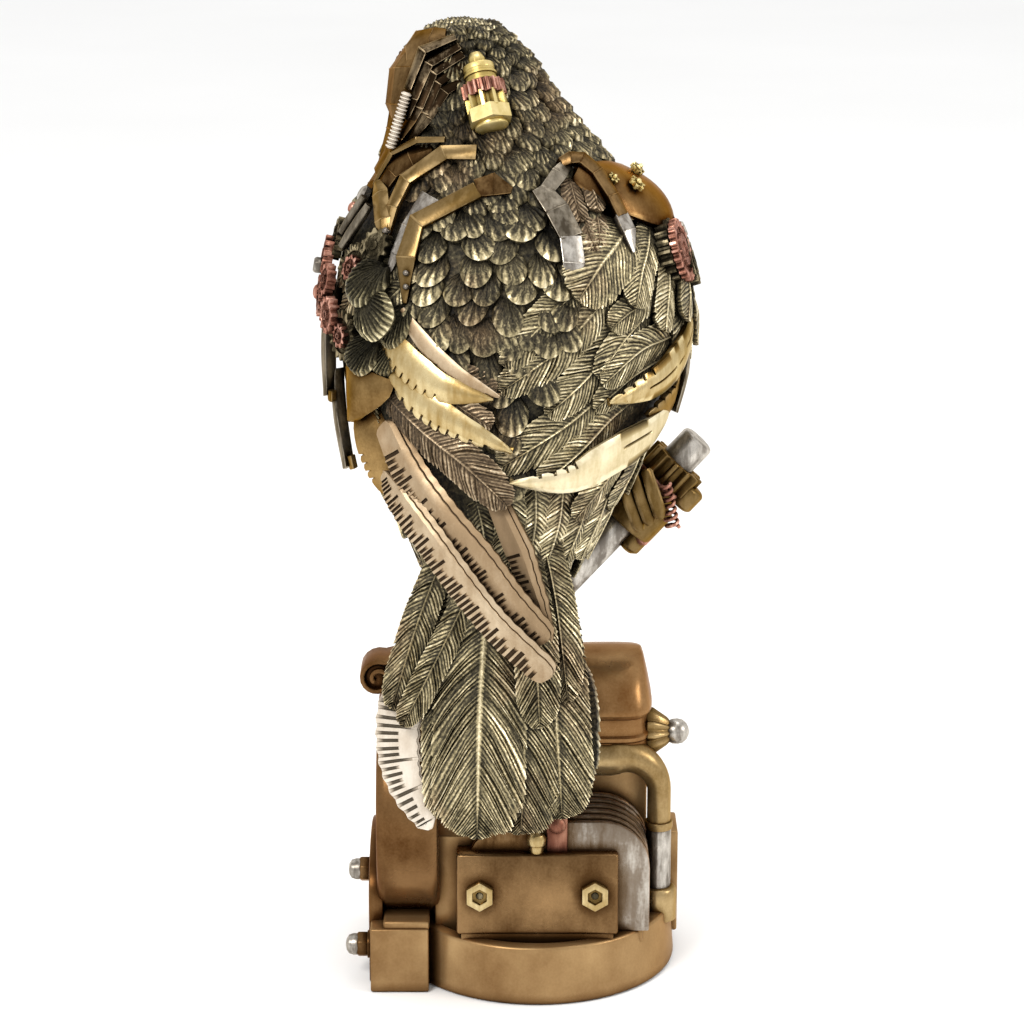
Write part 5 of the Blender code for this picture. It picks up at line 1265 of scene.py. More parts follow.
def tube(path, radii, sides):
    """A closed tube through points in space, as a blank that already lies in its place."""
    line = np.array(path, dtype=float)
    along = unit(np.gradient(line, axis=0))
    radii = np.interp(np.linspace(0, 1, len(line)), np.linspace(0, 1, len(radii)), radii)
    across = unit(np.cross(along[0], (0.3, 0.2, 1.0)))
    points = []
    for k, (centre, forward) in enumerate(zip(line, along)):
        across = unit(across - forward * float(across @ forward))
        other = np.cross(forward, across)
        for i in range(sides):
            turn = 2 * math.pi * i / sides
            points.append(centre + (across * math.cos(turn) + other * math.sin(turn)) * radii[k])
    return Blank(points, turned_out(points, lofted(len(line), sides)))


def lay_tubes(name, paint, tubes, slot="antique_brass", crease=40, sides=12):
    casting = Casting(name, paint, slot)
    for path, radii in tubes:
        blank = tube(path, radii, sides)
        casting.add(blank, blank.points)
    return casting.make(crease)


def gather(name, paint, parts):
    """Joins parts of one finish into one piece."""
    bpy.ops.object.select_all(action="DESELECT")
    for part in parts:
        part.select_set(True)
    bpy.context.view_layer.objects.active = parts[0]
    bpy.ops.object.join()
    obj = bpy.context.object
    obj.name = obj.data.name = name
    obj.data.materials.clear()
    obj.data.materials.append(PAINT[paint])
    keep(obj)
    return obj


def above_skin(deg, z, lift):
    """A point off the bird's skin and the direction square to it."""
    place = np.array([float(deg)]), np.array([float(z)])
    normal = skin_normal(*place)[0]
    return skin(*place)[0] + normal * lift, normal


def on_skin(part, *place):
    """Stands a part on the bird's skin, square to it."""
    return stand(part, *above_skin(*place))


def rivet(radius):
    dome = [(radius * up, radius * out) for up, out in ((0.36, 1.0), (0.72, 0.75), (0.9, 0.3))]
    return turned([(-1.0, radius)] + dome, 12)


def bolt_head(radius, height):
    return turned([(-1.0, radius), (height * 0.75, radius), (height, radius * 0.8)], 6, 0.15)


def on_skin_all(make, rows):
    """Parts made and stood on the skin from rows of (form, place)."""
    return [on_skin(make(*form), *place) for form, place in rows]


# Cogs are given as outer radius, root radius, teeth, thickness and hub, then turn, height and lift.
dark_cogs = on_skin_all(cog, (
    ((5.0, 4.1, 11, 2.6), (-50.6, 211.4, 1.4)), ((7.2, 6.0, 16, 2.6), (-60.5, 204.8, 1.4)),
    ((7.0, 5.9, 18, 2.6, 0.5), (-63.3, 187.9, 2.2)), ((6.0, 5.0, 12, 2.6), (-84, 210, 2.0)),
    ((6.2, 5.2, 14, 2.6), (97, 199, 1.8))))
dark_cogs.append(stand(cog(9.4, 7.7, 20, 3.4, 0.5), (35.0, -3.5, 207.6), (0.93, -0.20, 0.30)))
dark_cogs.append(stand(cog(7.0, 5.7, 15, 3.2, 0.5), (40.2, 4, 203.6), (0.95, -0.08, 0.30)))
gather("dark_cogs", "dark", dark_cogs)
copper_cogs = on_skin_all(cog, (
    ((5.4, 4.4, 10, 2.8), (-87, 205.2, 3.8)), ((5.8, 4.8, 12, 2.6), (-85, 195, 4.0)),
    ((4.6, 3.7, 12, 2.4), (-76, 200, 4.2)), ((5.2, 4.2, 13, 2.4), (-71, 192, 4.2)),
    ((3.4, 2.6, 9, 1.6), (-63.3, 187.9, 4.2)), ((3.6, 2.9, 9, 1.6), (-60.5, 204.8, 3.6)),
    ((4.4, 3.6, 9, 2.2), (91, 212, 2.6))))
copper_cogs += on_skin_all(rivet, (((1.7,), (-82, 218, 2.4)), ((2.3,), (-88, 195.5, 5.8))))
copper_cogs.append(stand(cog(8.9, 7.8, 24, 1.8, 0.6), (38.5, -4.2, 208.6), (0.93, -0.20, 0.30)))
gather("copper_cogs", "copper", copper_cogs)
bolts = on_skin_all(bolt_head, (((2.3, 2.6), (-88, 202, 6.0)), ((2.4, 2.8), (90, 210.5, 3.6))))
bolts += on_skin_all(rivet, (
    ((0.9,), (-46, 215.2, 4.2)), ((0.8,), (-34.2, 202.6, 4.2)), ((0.8,), (-34.4, 205.8, 4.6))))
bolts.append(on_skin(turned([(-1, 2.4), (0.6, 2.4), (1.2, 1.7)], 16), -77, 222, 2.6))
gather("shoulder_bolts", "silver", bolts)


def flower(radius):
    """A small rosette: a low cog with rounded petals and a bead in its middle."""
    petals = cog(radius, radius * 0.68, 6, 1.2, 0.3, 0.2, 0.25)
    bead = turned([(-0.5, radius * 0.34), (1.6, radius * 0.34), (2.2, radius * 0.1)], 10)
    return [petals, bead]


rosettes = []
for deg, z, lift, radius in ((64, 222.6, 6.8, 2.4), (79, 225.6, 5.8, 2.0), (89, 225.2, 5.4, 2.0),
        (54, 225.6, 5.8, 1.7)):
    rosettes += [on_skin(part, deg, z, lift) for part in flower(radius)]
gather("rosettes", "nape_yellow", rosettes)
tubes = []
for first, last in (((-61, 220), (-72, 209)), ((-68, 221.4), (-76, 212))):
    first, last = (above_skin(*place, 4.0)[0] for place in (first, last))
    tubes.append(([first + (last - first) * t for t in np.linspace(0, 1, 7)], (1.2, 1.5, 1.5, 1.2)))
lay_tubes("shoulder_tubes", "grey_steel", tubes)
shells = Casting("dark_shell_feathers", "dark_feather")
for k, (path, width, lifts) in enumerate((
        ([(-43, 207.5), (-48.8, 202.6), (-55.5, 197)], 11.6, (3.6, 5.4, 5.8)),
        ([(-51, 199.5), (-45, 195.4), (-38.6, 190.8)], 12, (3.6, 5.8, 6.4)),
        ([(-44, 190.5), (-50.9, 184.8), (-57.5, 180.6)], 10, (2.6, 4.6, 5.0)),
        ([(-34, 199), (-37, 193), (-40, 187)], 8, (1.6, 3.0, 3.6)),
        ([(-38, 190), (-42, 185), (-48, 180)], 9, (0.6, 2.0, 2.6)))):
    blank = round_feather(length_on_skin(path), width, 700 + k, 15, 0.3, 2.6, 2.6)
    shells.add(blank, lay_on_skin(blank, path, lifts), 1.4)
shells.make(40)

# %% [markdown]
# ## Shoulder shell
# The right shoulder is a smooth riveted dome. It is laid like a wide feather with no engraving, and
# its high crown makes it stand off the cogs below it.

# %% Shoulder shell
shell = Casting("shoulder_shell", "shell_bronze")
path = [(40, 230), (51, 227), (66, 223.4), (84, 220), (104, 218.5), (120, 219.5)]
blank = blade(length_on_skin(path), (5, 12, 18.5, 22, 22, 18, 8), step=1.2, crown=2.6, thickness=4.5,
    bevel=0.5, columns=14)
shell.add(blank, lay_on_skin(blank, path, (3.0, 3.4, 3.6, 3.8, 3.4, 2.0)))
shell.make(30)

# %% [markdown]
# ## Head
# The beak side of the head is not in the photo, so it is kept plain: a curved beak, a goggle on the
# left and a ring round the right eye. What the photo shows is the mechanical left side of the head:
# a brow plate, four louvres, a long screw beside the cheek, and the nut stack on the nape.

# %% Head
HEAD_TURN = math.radians(-155)
AHEAD = np.array((math.sin(HEAD_TURN), -math.cos(HEAD_TURN), 0.0))
ACROSS = np.array((math.cos(HEAD_TURN), math.sin(HEAD_TURN), 0.0))
HEAD_MID = np.array((-19.0, 14.0, 252.0))


def beak_half(upper):
    """One half of the beak: rings of changing size along a drooping line, closed where the halves meet."""
    points, sides = [], 13
    stations = ((8, -0.5, 10.0, 7.8), (16, -0.2, 8.2, 6.6), (24, 0.9, 6.3, 5.4), (32, 2.1, 4.7, 4.3),
                (39, 4.1, 3.2, 3.1), (44.5, 6.6, 1.9, 2.0), (48, 9.4, 0.6, 0.9))
    reach = 1.0 if upper else 0.93
    for along, drop, wide, tall in stations:
        sunk = drop * (1.0 if upper else 0.85) + (0.0 if upper else 0.2)
        centre = HEAD_MID + AHEAD * along * reach - np.array((0, 0, sunk))
        for i in range(sides):
            turn = math.pi * i / (sides - 1) * (1 if upper else -1)
            rise = tall * math.sin(turn) * (1.35 if upper else 0.95)
            aside = ACROSS * wide * (1.0 if upper else 0.9) * math.cos(turn)
            points.append(centre + aside + np.array((0, 0, rise)))
    return Blank(points, turned_out(points, lofted(len(stations), sides)))


beak = Casting("beak", "bronze")
for half in (beak_half(upper=True), beak_half(upper=False)):
    beak.add(half, half.points)
beak.make(40)

lay_straps("head_plates", "bronze", (
    ([(-20, 265.4), (-38, 264.0), (-64, 261.5), (-90, 257)], (5, 8, 11, 8), (1.4, 2.0, 2.2, 1.0),
        {"crown": 0.5, **THICK}),
    ([(-64, 263.5), (-63, 256.5), (-62, 247.5), (-66, 243)], (14, 17, 13, 6), (1.2, 2.6, 3.0, 1.6),
        {"crown": 0.9, **THICK}),
    ([(-84, 250), (-86, 240), (-88, 229)], (8, 10, 9), (0.4, 1.0, 0.8), {"crown": 0.8, **THICK}),
    ([(-56, 243), (-64, 235), (-72, 228)], (4, 6, 7), (1.8, 2.6, 3.0)),
    ([(-30, 252), (-38, 247), (-55, 239), (-64, 230)], (2.6, 3.2, 3.4, 3.0), (2.4, 2.8, 3.2, 3.2)),
    ([(-110, 262), (-128, 264), (-150, 262)], (8, 10, 6), (0.6, 1.2, 0.8), {"crown": 0.8}),
))
lay_straps("louvres", "louvre", (
    ([(-6, 264.4), (-35, 261.0), (-44.4, 251.8)], (2.0, 3.0, 2.6), (3.4, 4.4, 4.2)),
    ([(-2, 262.8), (-28.6, 258.4), (-40.4, 249.6), (-49, 244)], (2.4, 3.2, 3.2, 2.0), (2.6, 3.6, 3.8, 3.0)),
    ([(1, 261.2), (-24.8, 256.4), (-37.2, 247.6), (-49, 241)], (2.2, 3.0, 3.0, 2.0), (2.2, 3.1, 3.2, 2.6)),
    ([(2, 259), (-22, 254.2), (-33.4, 246.4), (-48, 238)], (2.2, 3.0, 3.0, 2.0), (1.8, 2.7, 2.8, 2.4)),
    ([(-4, 254.8), (-17.4, 252.1), (-31.4, 245.4), (-44, 240), (-51, 236)], (1.8, 3.0, 3.0, 2.4, 1.4),
        (1.6, 2.6, 2.6, 2.4, 2.0)),
))

nape_top, nape_foot = (above_skin(*place)[0] for place in ((12.4, 261.5, 1.6), (7.0, 243.0, 3.4)))
nape_axis = unit(nape_foot - nape_top)
reach = float(np.linalg.norm(nape_foot - nape_top))


def on_nape(part, share):
    return stand(part, nape_top + nape_axis * reach * share, nape_axis)


crown_gear = cog(5.7, 4.4, 10, 4.6, 0.5, 0.3)
big_nut = turned([(0, 4.8), (0.3, 6.3), (4.2, 6.3), (4.6, 5.2)], 6)
big_nut.data.transform(Matrix.Rotation(math.radians(14), 4, "Z"))
gather("nape_gold", "nape_yellow", [
    on_nape(turned([(-1.5, 1.6), (0.4, 2.5), (2.2, 2.5), (2.8, 1.8)], 10, 0.2), 0.08),
    on_nape(turned([(0, 3.4), (0.5, 4.3), (2.0, 4.3), (2.4, 3.8)], 28, 0.1), 0.17),
    on_nape(turned([(0, 4.2), (0.9, 4.2), (1.1, 4.6), (1.7, 4.6), (1.9, 4.2), (2.8, 4.2), (3.0, 4.6),
                    (3.6, 4.6), (3.8, 4.2), (5.2, 4.2)], 28), 0.26),
    on_nape(crown_gear, 0.60),
    on_nape(big_nut, 0.78),
    on_nape(turned([(0, 4.6), (1.2, 4.6), (1.8, 3.4)], 24, 0.15), 0.97),
])
gather("nape_copper", "copper", [on_nape(cog(6.1, 5.3, 20, 3.8, 0.5, 0.3), 0.45)])
screw_top, screw_foot = (above_skin(*place)[0] for place in ((-43.0, 251.0, 4.8), (-56.0, 235.5, 5.2)))
screw_axis = screw_foot - screw_top
screw_length = float(np.linalg.norm(screw_axis))
SCREW_TURNS = 15
ribs = [(0, 1.0)]
for k in range(SCREW_TURNS):
    z = screw_length * (k + 0.5) / SCREW_TURNS
    ribs += [(z - 0.38, 1.05), (z - 0.16, 1.5), (z + 0.16, 1.5), (z + 0.38, 1.05)]
gather("cheek_screw", "white_metal", [stand(turned(ribs + [(screw_length, 1.0)], 14), screw_top, screw_axis)])


EYES = ((-108, 6.0, 4.2), (158, 4.6, 3.2))  # turn, radius of the ring, radius of the lens
EYE_Z = 254
rings = []
for deg, r, _ in EYES:
    wall = turned([(-2, r), (2.4, r), (3.0, r * 0.9), (3.0, r * 0.74), (1.6, r * 0.68)], 28, 0.15)
    rim = cog(r * 1.14, r * 1.02, 18, 1.2, 0.5, 0.2)
    rings += [on_skin(wall, deg, EYE_Z, -1.8), on_skin(rim, deg, EYE_Z, -0.6)]
gather("eye_rings", "shell_bronze", rings)
gather("eye_lenses", "copper", [
    on_skin(turned([(0, r), (1.8, r), (2.3, r * 0.75), (2.6, r * 0.35), (2.7, 0.05)], 24), deg, EYE_Z, -1)
    for deg, _, r in EYES])

# %% [markdown]
# ## Claws and legs
# The bird grips the bar with metal claws. Each toe is a tapering tube bent round the bar, and the
# right foot, which the photo shows, also has a toothed wheel, a copper washer, three struts and a
# short spring.

# %% Claws and legs
BAR_TOP = np.array((45.2, 8.0, 151.6))
BAR_SLOPE = math.radians(47.5)
BAR_DOWN = np.array((-math.cos(BAR_SLOPE), 0.0, -math.sin(BAR_SLOPE)))
BAR_UP = np.array((-math.sin(BAR_SLOPE), 0.0, math.cos(BAR_SLOPE)))
BAR_RADIUS = 4.9
OUT = np.array((0.0, 1.0, 0.0))
TOE_R = 3.3
TOE_TAPER = (1, 1, 0.92, 0.86, 0.75, 0.55, 0.2)
TOE_STEPS = 12


def toe(distance, first, last):
    """A toe bent round the bar from one angle to another; 0 points forwards and 90 up."""
    path = []
    for step in range(TOE_STEPS + 1):
        angle = math.radians(first + (last - first) * step / TOE_STEPS)
        spoke = OUT * math.cos(angle) + BAR_UP * math.sin(angle)
        knuckle = 0.35 * math.sin(step / TOE_STEPS * math.pi * 3) ** 2
        path.append(BAR_TOP + BAR_DOWN * distance + spoke * (BAR_RADIUS + 2.1 + knuckle))
    return path, tuple(TOE_R * share for share in TOE_TAPER)


claws = []
for distance in (22.5, 75):
    for aside, first, last in ((-7, 75, -95), (0, 75, -112), (7, 75, -95), (0, 105, 255)):
        claws.append(toe(distance + aside, first, last))
lay_tubes("claws", "strap_gold", claws)
legs = []
for hip, distance in (((21, -2, 148), 22.5), ((-16, -10, 127), 75)):
    ankle = BAR_TOP + BAR_DOWN * distance + BAR_UP * (BAR_RADIUS + 1.5) - OUT * 2
    hip = np.array(hip)
    legs.append(([hip + (ankle - hip) * t for t in np.linspace(0, 1, 9)], (8.4, 7.0, 6.0, 5.2, 5.4)))
lay_tubes("legs", "bronze", legs)


def on_bar(part, distance, out=0.0, up=0.0):
    return stand(part, BAR_TOP + BAR_DOWN * distance + OUT * out + BAR_UP * up, BAR_DOWN)


def collar(inner, outer, thick, edge=0.0, sides=28):
    """A ring round the bar: a disc with a hole, so that the bar shows through it."""
    bpy.ops.mesh.primitive_circle_add(vertices=sides, radius=outer * MM)
    obj = bpy.context.object
    bpy.ops.object.mode_set(mode="EDIT")
    bpy.ops.mesh.extrude_edges_move(TRANSFORM_OT_translate={"value": (0, 0, 0)})
    bpy.ops.transform.resize(value=(inner / outer, inner / outer, 1))
    bpy.ops.mesh.select_all(action="SELECT")
    bpy.ops.mesh.extrude_region_move(TRANSFORM_OT_translate={"value": (0, 0, thick * MM)})
    close_shape()
    return soften(obj, edge) if edge else obj


def bar_cog(inner, outer, root, teeth, thick):
    """A collar whose outer wall is pulled in and out to make teeth along the bar."""
    obj = collar(inner, outer, thick, sides=teeth * 4)
    pull_teeth(obj, teeth, root / outer, (inner + outer) / 2)
    return soften(obj, 0.25, 2, 40)


ROOM = BAR_RADIUS + 0.3
gather("foot_wheel", "strap_gold", [
    on_bar(bar_cog(ROOM, 8.7, 6.4, 12, 7.0), 7.5, -0.3, -0.4), on_bar(collar(ROOM, 7.4, 7.0, 0.3), 7.7),
    on_bar(turned([(0, 3.2), (0.8, 4.2), (6.2, 4.2), (7, 3.2)], 20, 0.4), 10, -2, -8)])
gather("foot_collars", "strap_gold", [
    on_bar(collar(ROOM + 1.4, 8.8, 10.5, 0.8), 20.6, 0, -1.4), on_bar(collar(ROOM, 7.2, 8, 0.5), 14.4),
    on_bar(turned([(0, 2.2), (1.2, 3.6), (5.6, 3.6), (7, 2.0)], 20, 0.4), 30, 0, -6.6),
    on_bar(collar(ROOM, 7.4, 15, 0.5), 67.5)])
gather("foot_washer", "copper", [
    on_bar(collar(ROOM, 8.2, 1.4, 0.3), 14.6),
    on_bar(turned([(0, 1.4), (1, 2.2), (3, 2.2), (4, 1.2)], 16), 28.6, -2.5, -7.6)])
struts = Casting("foot_struts", "strap_gold")
halves = ((0, 1.2), (1.5, 1.7), (9, 2.0), (15, 2.0), (17.5, 1.3))
finger = plate([(v, half, half, 0) for v, half in halves], thickness=2.4, crown=0.9, bevel=0.4)
for k in range(3):
    start = np.array((22.8 + 3.6 * k, -7.4, 146.4 + 0.6 * k))
    end = np.array((28.6 + 2.9 * k, -6.0, 129.6 + 1.9 * k))
    bow = (start + end) / 2 + np.array((0, -1.6, 0))
    struts.add(finger, lay_in_space(finger, [start, bow, end], (0.3, -1, 0.1), (0.6, 0.6), 0.0))
struts.make(30)


COIL_SIDES = 14


def coil(start, end, turns, radius, wire):
    """A spring as one tube wound round the line from start to end."""
    start, end = np.array(start, dtype=float), np.array(end, dtype=float)
    axis = unit(end - start)
    side = unit(np.cross(axis, (0, 1, 0.2)))
    other = np.cross(axis, side)
    path = []
    for k in range(turns * COIL_SIDES + 1):
        turn = 2 * math.pi * k / COIL_SIDES
        centre = start + (end - start) * k / (turns * COIL_SIDES)
        path.append(centre + (side * math.cos(turn) + other * math.sin(turn)) * radius)
    return path, (wire,)


lay_tubes("foot_spring", "copper", [coil((35.5, -3.5, 142), (38.2, -2.5, 129), 7, 1.7, 0.55)])

# %% [markdown]
# ## Perch bar
# The bar is a plain round rod with rounded ends. Its CAD solid has the right shape, so it only gets a
# silver finish of its own, with fine marks along its length.

# %% Perch bar
fine_bar = turned([(-1.0, 3.9), (-0.65, 4.6), (0.1, BAR_RADIUS + 0.1), (125.4, BAR_RADIUS)], 48)
bar = gather("perch_bar_finish", "silver", [stand(fine_bar, BAR_TOP, BAR_DOWN)])
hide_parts("perch_bar")

# %% [markdown]
# ## Plinth blocks
# The plinth is an engine built on a round base. Its blocks start as cubes or as flat outlines that
# are extruded, and their edges are bevelled so that they catch the light like worn castings. The
# fins are separate arches with narrow grooves between them.

# %% Plinth blocks
def block(low, high, edge):
    """A bevelled box between two corners in millimetres."""
    low, high = np.array(low, dtype=float), np.array(high, dtype=float)
    bpy.ops.mesh.primitive_cube_add(size=1, location=(low + high) / 2 * MM, scale=(high - low) * MM)
    obj = bpy.context.object
    bpy.ops.object.transform_apply(location=True, rotation=True, scale=True)
    return soften(obj, edge, 3)


def extruded(outline, depth, edge):
    """A flat outline, given as points in space, extruded by the vector depth."""
    obj = new_object("outline", outline, [tuple(range(len(outline)))])
    bpy.ops.object.mode_set(mode="EDIT")
    bpy.ops.mesh.select_all(action="SELECT")
    bpy.ops.mesh.extrude_region_move(TRANSFORM_OT_translate={"value": tuple(v * MM for v in depth)})
    close_shape()
    return soften(obj, edge, 2, 30)


def arch(left, right, foot, top, shoulder, back, front, edge):
    """A wall across the plinth, its two upper corners rounded by the radius shoulder."""
    outline = [(left, back, foot), (right, back, foot)]
    outline += [(right - shoulder + shoulder * math.cos(a), back, top - shoulder + shoulder * math.sin(a))
                for a in np.linspace(0, math.pi / 2, 9)]
    outline += [(left + shoulder + shoulder * math.cos(a), back, top - shoulder + shoulder * math.sin(a))
                for a in np.linspace(math.pi / 2, math.pi, 9)]
    return extruded(outline, (0, front - back, 0), edge)


def fluted(profile, flutes, depth):
    """A turned part with lengthwise flutes."""
    obj = turned(profile, flutes * 4)
    pull_teeth(obj, flutes, depth)
    return obj


DRUM_LEFT, DRUM_RIGHT, DRUM_Z = -45.2, -27.7, 47.0
FLANGE_X, FLANGE_TOP = -47.8, 39.0
CASE_LEFT, CASE_RIGHT, CASE_BACK, CASE_FRONT = -20.0, 31.8, -27.0, 24.0
BASE_TOP, BASE_FLOOR = 17.0, 14.5
SUNK = BASE_FLOOR - 1  # the foot of whatever stands in the round base

base = turned([(0, 39.2), (0.5, 39.8), (1.4, 40.0), (16.4, 38.9), (17.0, 38.4), (17.0, 35.0),
    (BASE_FLOOR, 34.4)], 128, 0.25)
side_block = block((-47.2, -31, 0), (-30.7, 31, 19.2), 0.6)
flange_outline = [(FLANGE_X, -24, 0.0), (FLANGE_X, 24, 0.0)]
flange_outline += [(FLANGE_X, 24 * math.cos(a), FLANGE_TOP - (1 - math.sin(a)) * 14.4)
    for a in np.linspace(0, math.pi, 19)]
flange = extruded(flange_outline, (4, 0, 0), 0.5)
web = block((-29, -22, SUNK), (-17, 19, 44), 0.4)
ledge = block((-43.5, -30.2, 18.6), (-30.5, -12, 21.2), 0.7)
gather("base_and_block", "bronze_paint", [base, side_block, ledge, web])
gather("flange", "drum_brown", [flange])
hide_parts("engine_plinth")

drum_profile = [
    (0, 25.5), (0.9, 26.0), (0, 27.5), (0, 30.9), (0.6, 32.0), (2.4, 33.0), (15.6, 33.0), (17.0, 32.4),
    (17.5, 31.4), (17.5, 28.5), (16.4, 27.5), (16.2, 12), (17.2, 11.2), (17.2, 8)]
drum = stand(turned(drum_profile, 96, 0.15), (DRUM_LEFT, 0, DRUM_Z), RIGHTWARD)
spiral = []
for k in range(27):
    a = math.radians(70 + 20 * k)
    reach = 6.0 - 0.155 * k
    spiral.append((-45.2 + reach * math.cos(a), 85.2 + reach * math.sin(a)))
spiral = [(-37.5, 91.4), (-41, 91.4)] + spiral
outer = [(x, -6, z) for x, z in spiral]
inner = []
for k, (x, z) in enumerate(spiral):
    x2, z2 = spiral[min(k + 1, len(spiral) - 1)]
    x1, z1 = spiral[max(k - 1, 0)]
    step = math.hypot(x2 - x1, z2 - z1)
    inner.append((x - (z2 - z1) / step * 1.3, -6, z + (x2 - x1) / step * 1.3))
curl = extruded(outer + inner[::-1], (0, 12, 0), 0.2)
curl_core = stand(turned([(0, 3.3), (0.3, 3.8), (10.6, 3.8), (10.9, 3.3)], 24), (-45.2, -4.6, 85.2), FORWARD)
curl_leaf = extruded([(-44.5, -5.5, 77.5), (-39.2, -5.5, 77.5), (-39.2, -5.5, 90.6), (-42, -5.5, 90.6)],
    (0, 11, 0), 0.4)
collar_start = BAR_TOP + BAR_DOWN * ((BAR_TOP[0] - DRUM_RIGHT) / -BAR_DOWN[0] - 5)
bar_seat = stand(collar(BAR_RADIUS + 0.25, 7.7, 14, 0.5, 32), collar_start, BAR_DOWN)
gather("drum", "drum_brown", [drum, curl, curl_core, curl_leaf, bar_seat])

# %% [markdown]
# ## Fins, casing and hopper
# Six fins run across the casing. Their crests are dry-brushed with silver, so they are one piece with
# a finish of their own. The hopper is a stack of rounded outlines, swept up to a narrow ridge.

# %% Fins, casing and hopper
FIN_COUNT, FIN_PITCH, FIN_THICKNESS = 6, 4.4, 2.5
fins = []
for k in range(FIN_COUNT):
    back = CASE_BACK + FIN_PITCH * k
    fins.append(arch(CASE_LEFT, CASE_RIGHT, SUNK if k else BASE_TOP, 50, 14, back, back + FIN_THICKNESS, 0.6))
gather("fins", "fin_paint", fins)
core = arch(CASE_LEFT + 1.8, CASE_RIGHT - 1.8, SUNK, 48.2, 12.5, CASE_BACK + 1, CASE_FRONT - 1, 0.3)
case_body = arch(CASE_LEFT, CASE_RIGHT, SUNK, 67, 11.2, CASE_BACK + 26.4, CASE_FRONT, 0.6)


HOPPER_X, HOPPER_Y, HOPPER_HALF_WIDTH, HOPPER_HALF_DEPTH = 20.0, 5.5, 13.0, 18.5
HOPPER_SIDES = 48
SQUARENESS = 4  # 2 would make the outline an ellipse


def ring_stack(levels):
    """A closed body round the hopper's middle from (height, width share, depth share)."""
    points = []
    for z, wide, deep in levels:
        for k in range(HOPPER_SIDES):
            turn = 2 * math.pi * (k + 0.5) / HOPPER_SIDES
            c, s = (math.copysign(abs(v) ** (2 / SQUARENESS), v) for v in (math.cos(turn), math.sin(turn)))
            x, y = HOPPER_X + HOPPER_HALF_WIDTH * wide * c, HOPPER_Y + HOPPER_HALF_DEPTH * deep * s
            points.append((x, y, z))
    faces = turned_out(points, lofted(len(levels), HOPPER_SIDES))
    return soften(new_object("stack", points, faces), 0, 1, 30)


hopper = ring_stack(((75.6, 0.97, 0.97), (76.4, 1.0, 1.0), (77.6, 1.0, 1.0), (78.6, 0.985, 0.985),
                     (83.6, 0.91, 0.88), (87.8, 0.84, 0.66), (90.2, 0.79, 0.42), (91.0, 0.75, 0.2),
                     (91.2, 0.70, 0.12)))
band = ring_stack(((64.0, 0.93, 0.90), (67.6, 0.93, 0.90), (68.2, 0.955, 0.925), (69.2, 0.955, 0.925),
                   (69.8, 0.91, 0.88), (72.4, 0.895, 0.86), (74.6, 0.92, 0.90), (75.4, 0.96, 0.95),
                   (76.9, 0.965, 0.96)))
bracket = block((36.8, -1, 6), (41, 15, 37), 0.7)
bracket_root = block((27.8, 2, 10), (40, 12, 29.6), 0.4)
GAUGE_X, GAUGE_Z = 5.9, 47
gauge = stand(turned([(-1, 10.5), (2.6, 10.5), (3.2, 9.9), (3.2, 8.9), (1.6, 8.6)], 64, 0.15),
              (GAUGE_X, CASE_FRONT, GAUGE_Z), FORWARD)
gather("casing", "bronze_paint", [core, case_body, bracket, bracket_root, gauge])
gather("hopper", "engine_brown", [hopper, band])

# %% [markdown]
# ## Pipe, nut plate and fastenings
# The pipe leaves the drum, crosses the fins and drops to a collar on the base. Bolts, nuts, rivets,
# the copper tag and the fluted knob finish the engine, together with a plain dial on its front.

# %% Pipe, nut plate and fastenings
PIPE_X, PIPE_Y, PIPE_Z, PIPE_R, PIPE_BEND = 35.0, -8.0, 63.0, 3.4, 10.0
pipe_line = [(x, PIPE_Y, 62.8) for x in (-31, -18, -5, 8, 16, 21)]
pipe_radii = [4.4, 4.4, 4.6, 5.4, 5.6, 5.6]
for k, a in enumerate(np.linspace(math.pi / 2, 0, 15)):
    thick = PIPE_R + 2.2 * (1 - k / 14) ** 1.2
    bow = PIPE_BEND + 2.4 - (thick - PIPE_R)
    x, z = PIPE_X - PIPE_BEND - 2.4 + bow * math.cos(a), PIPE_Z - PIPE_BEND + bow * math.sin(a)
    pipe_line.append((x, PIPE_Y, z))
    pipe_radii.append(thick)
pipe_line += [(PIPE_X, PIPE_Y, 47), (PIPE_X, PIPE_Y, 41.5)]
pipe_radii += [PIPE_R, PIPE_R]
lay_tubes("pipe", "pipe_gold", [(pipe_line, pipe_radii)], "bronze", 60, 20)
pipe_foot = [(PIPE_X, PIPE_Y, z) for z in (43.2, 35, 25, 14)]
lay_tubes("pipe_foot", "silver", [(pipe_foot, (PIPE_R + 0.25,))], "dull_steel")
knob = [(0, 6.6), (0.6, 7.0), (2.4, 6.8), (6.2, 4.2), (7.0, 3.4)]
gather("pipe_collars", "pipe_gold", [
    stand(collar(3.0, 4.0, 2.4, 0.4), (PIPE_X, PIPE_Y, 41.0), UPWARD),
    stand(turned([(0, 5.4), (8.2, 5.4), (9.6, 4.8), (10.0, 3.8)], 32, 0.2), (PIPE_X, PIPE_Y, SUNK), UPWARD),
    stand(collar(4.0, 5.8, 3.0, 0.4), (-27.9, PIPE_Y, 62.8), RIGHTWARD),
    stand(fluted(knob, 11, 0.78), (31.0, 0, 67.6), RIGHTWARD),
])
ball = [(0, 2.4), (1.2, 3.0), (2.6, 3.6), (4.0, 3.7), (5.4, 3.4), (6.6, 2.4), (7.2, 1.1), (7.35, 0.3)]
gather("knob_ball", "silver", [stand(turned(ball, 28), (36.4, 0, 67.5), RIGHTWARD)])

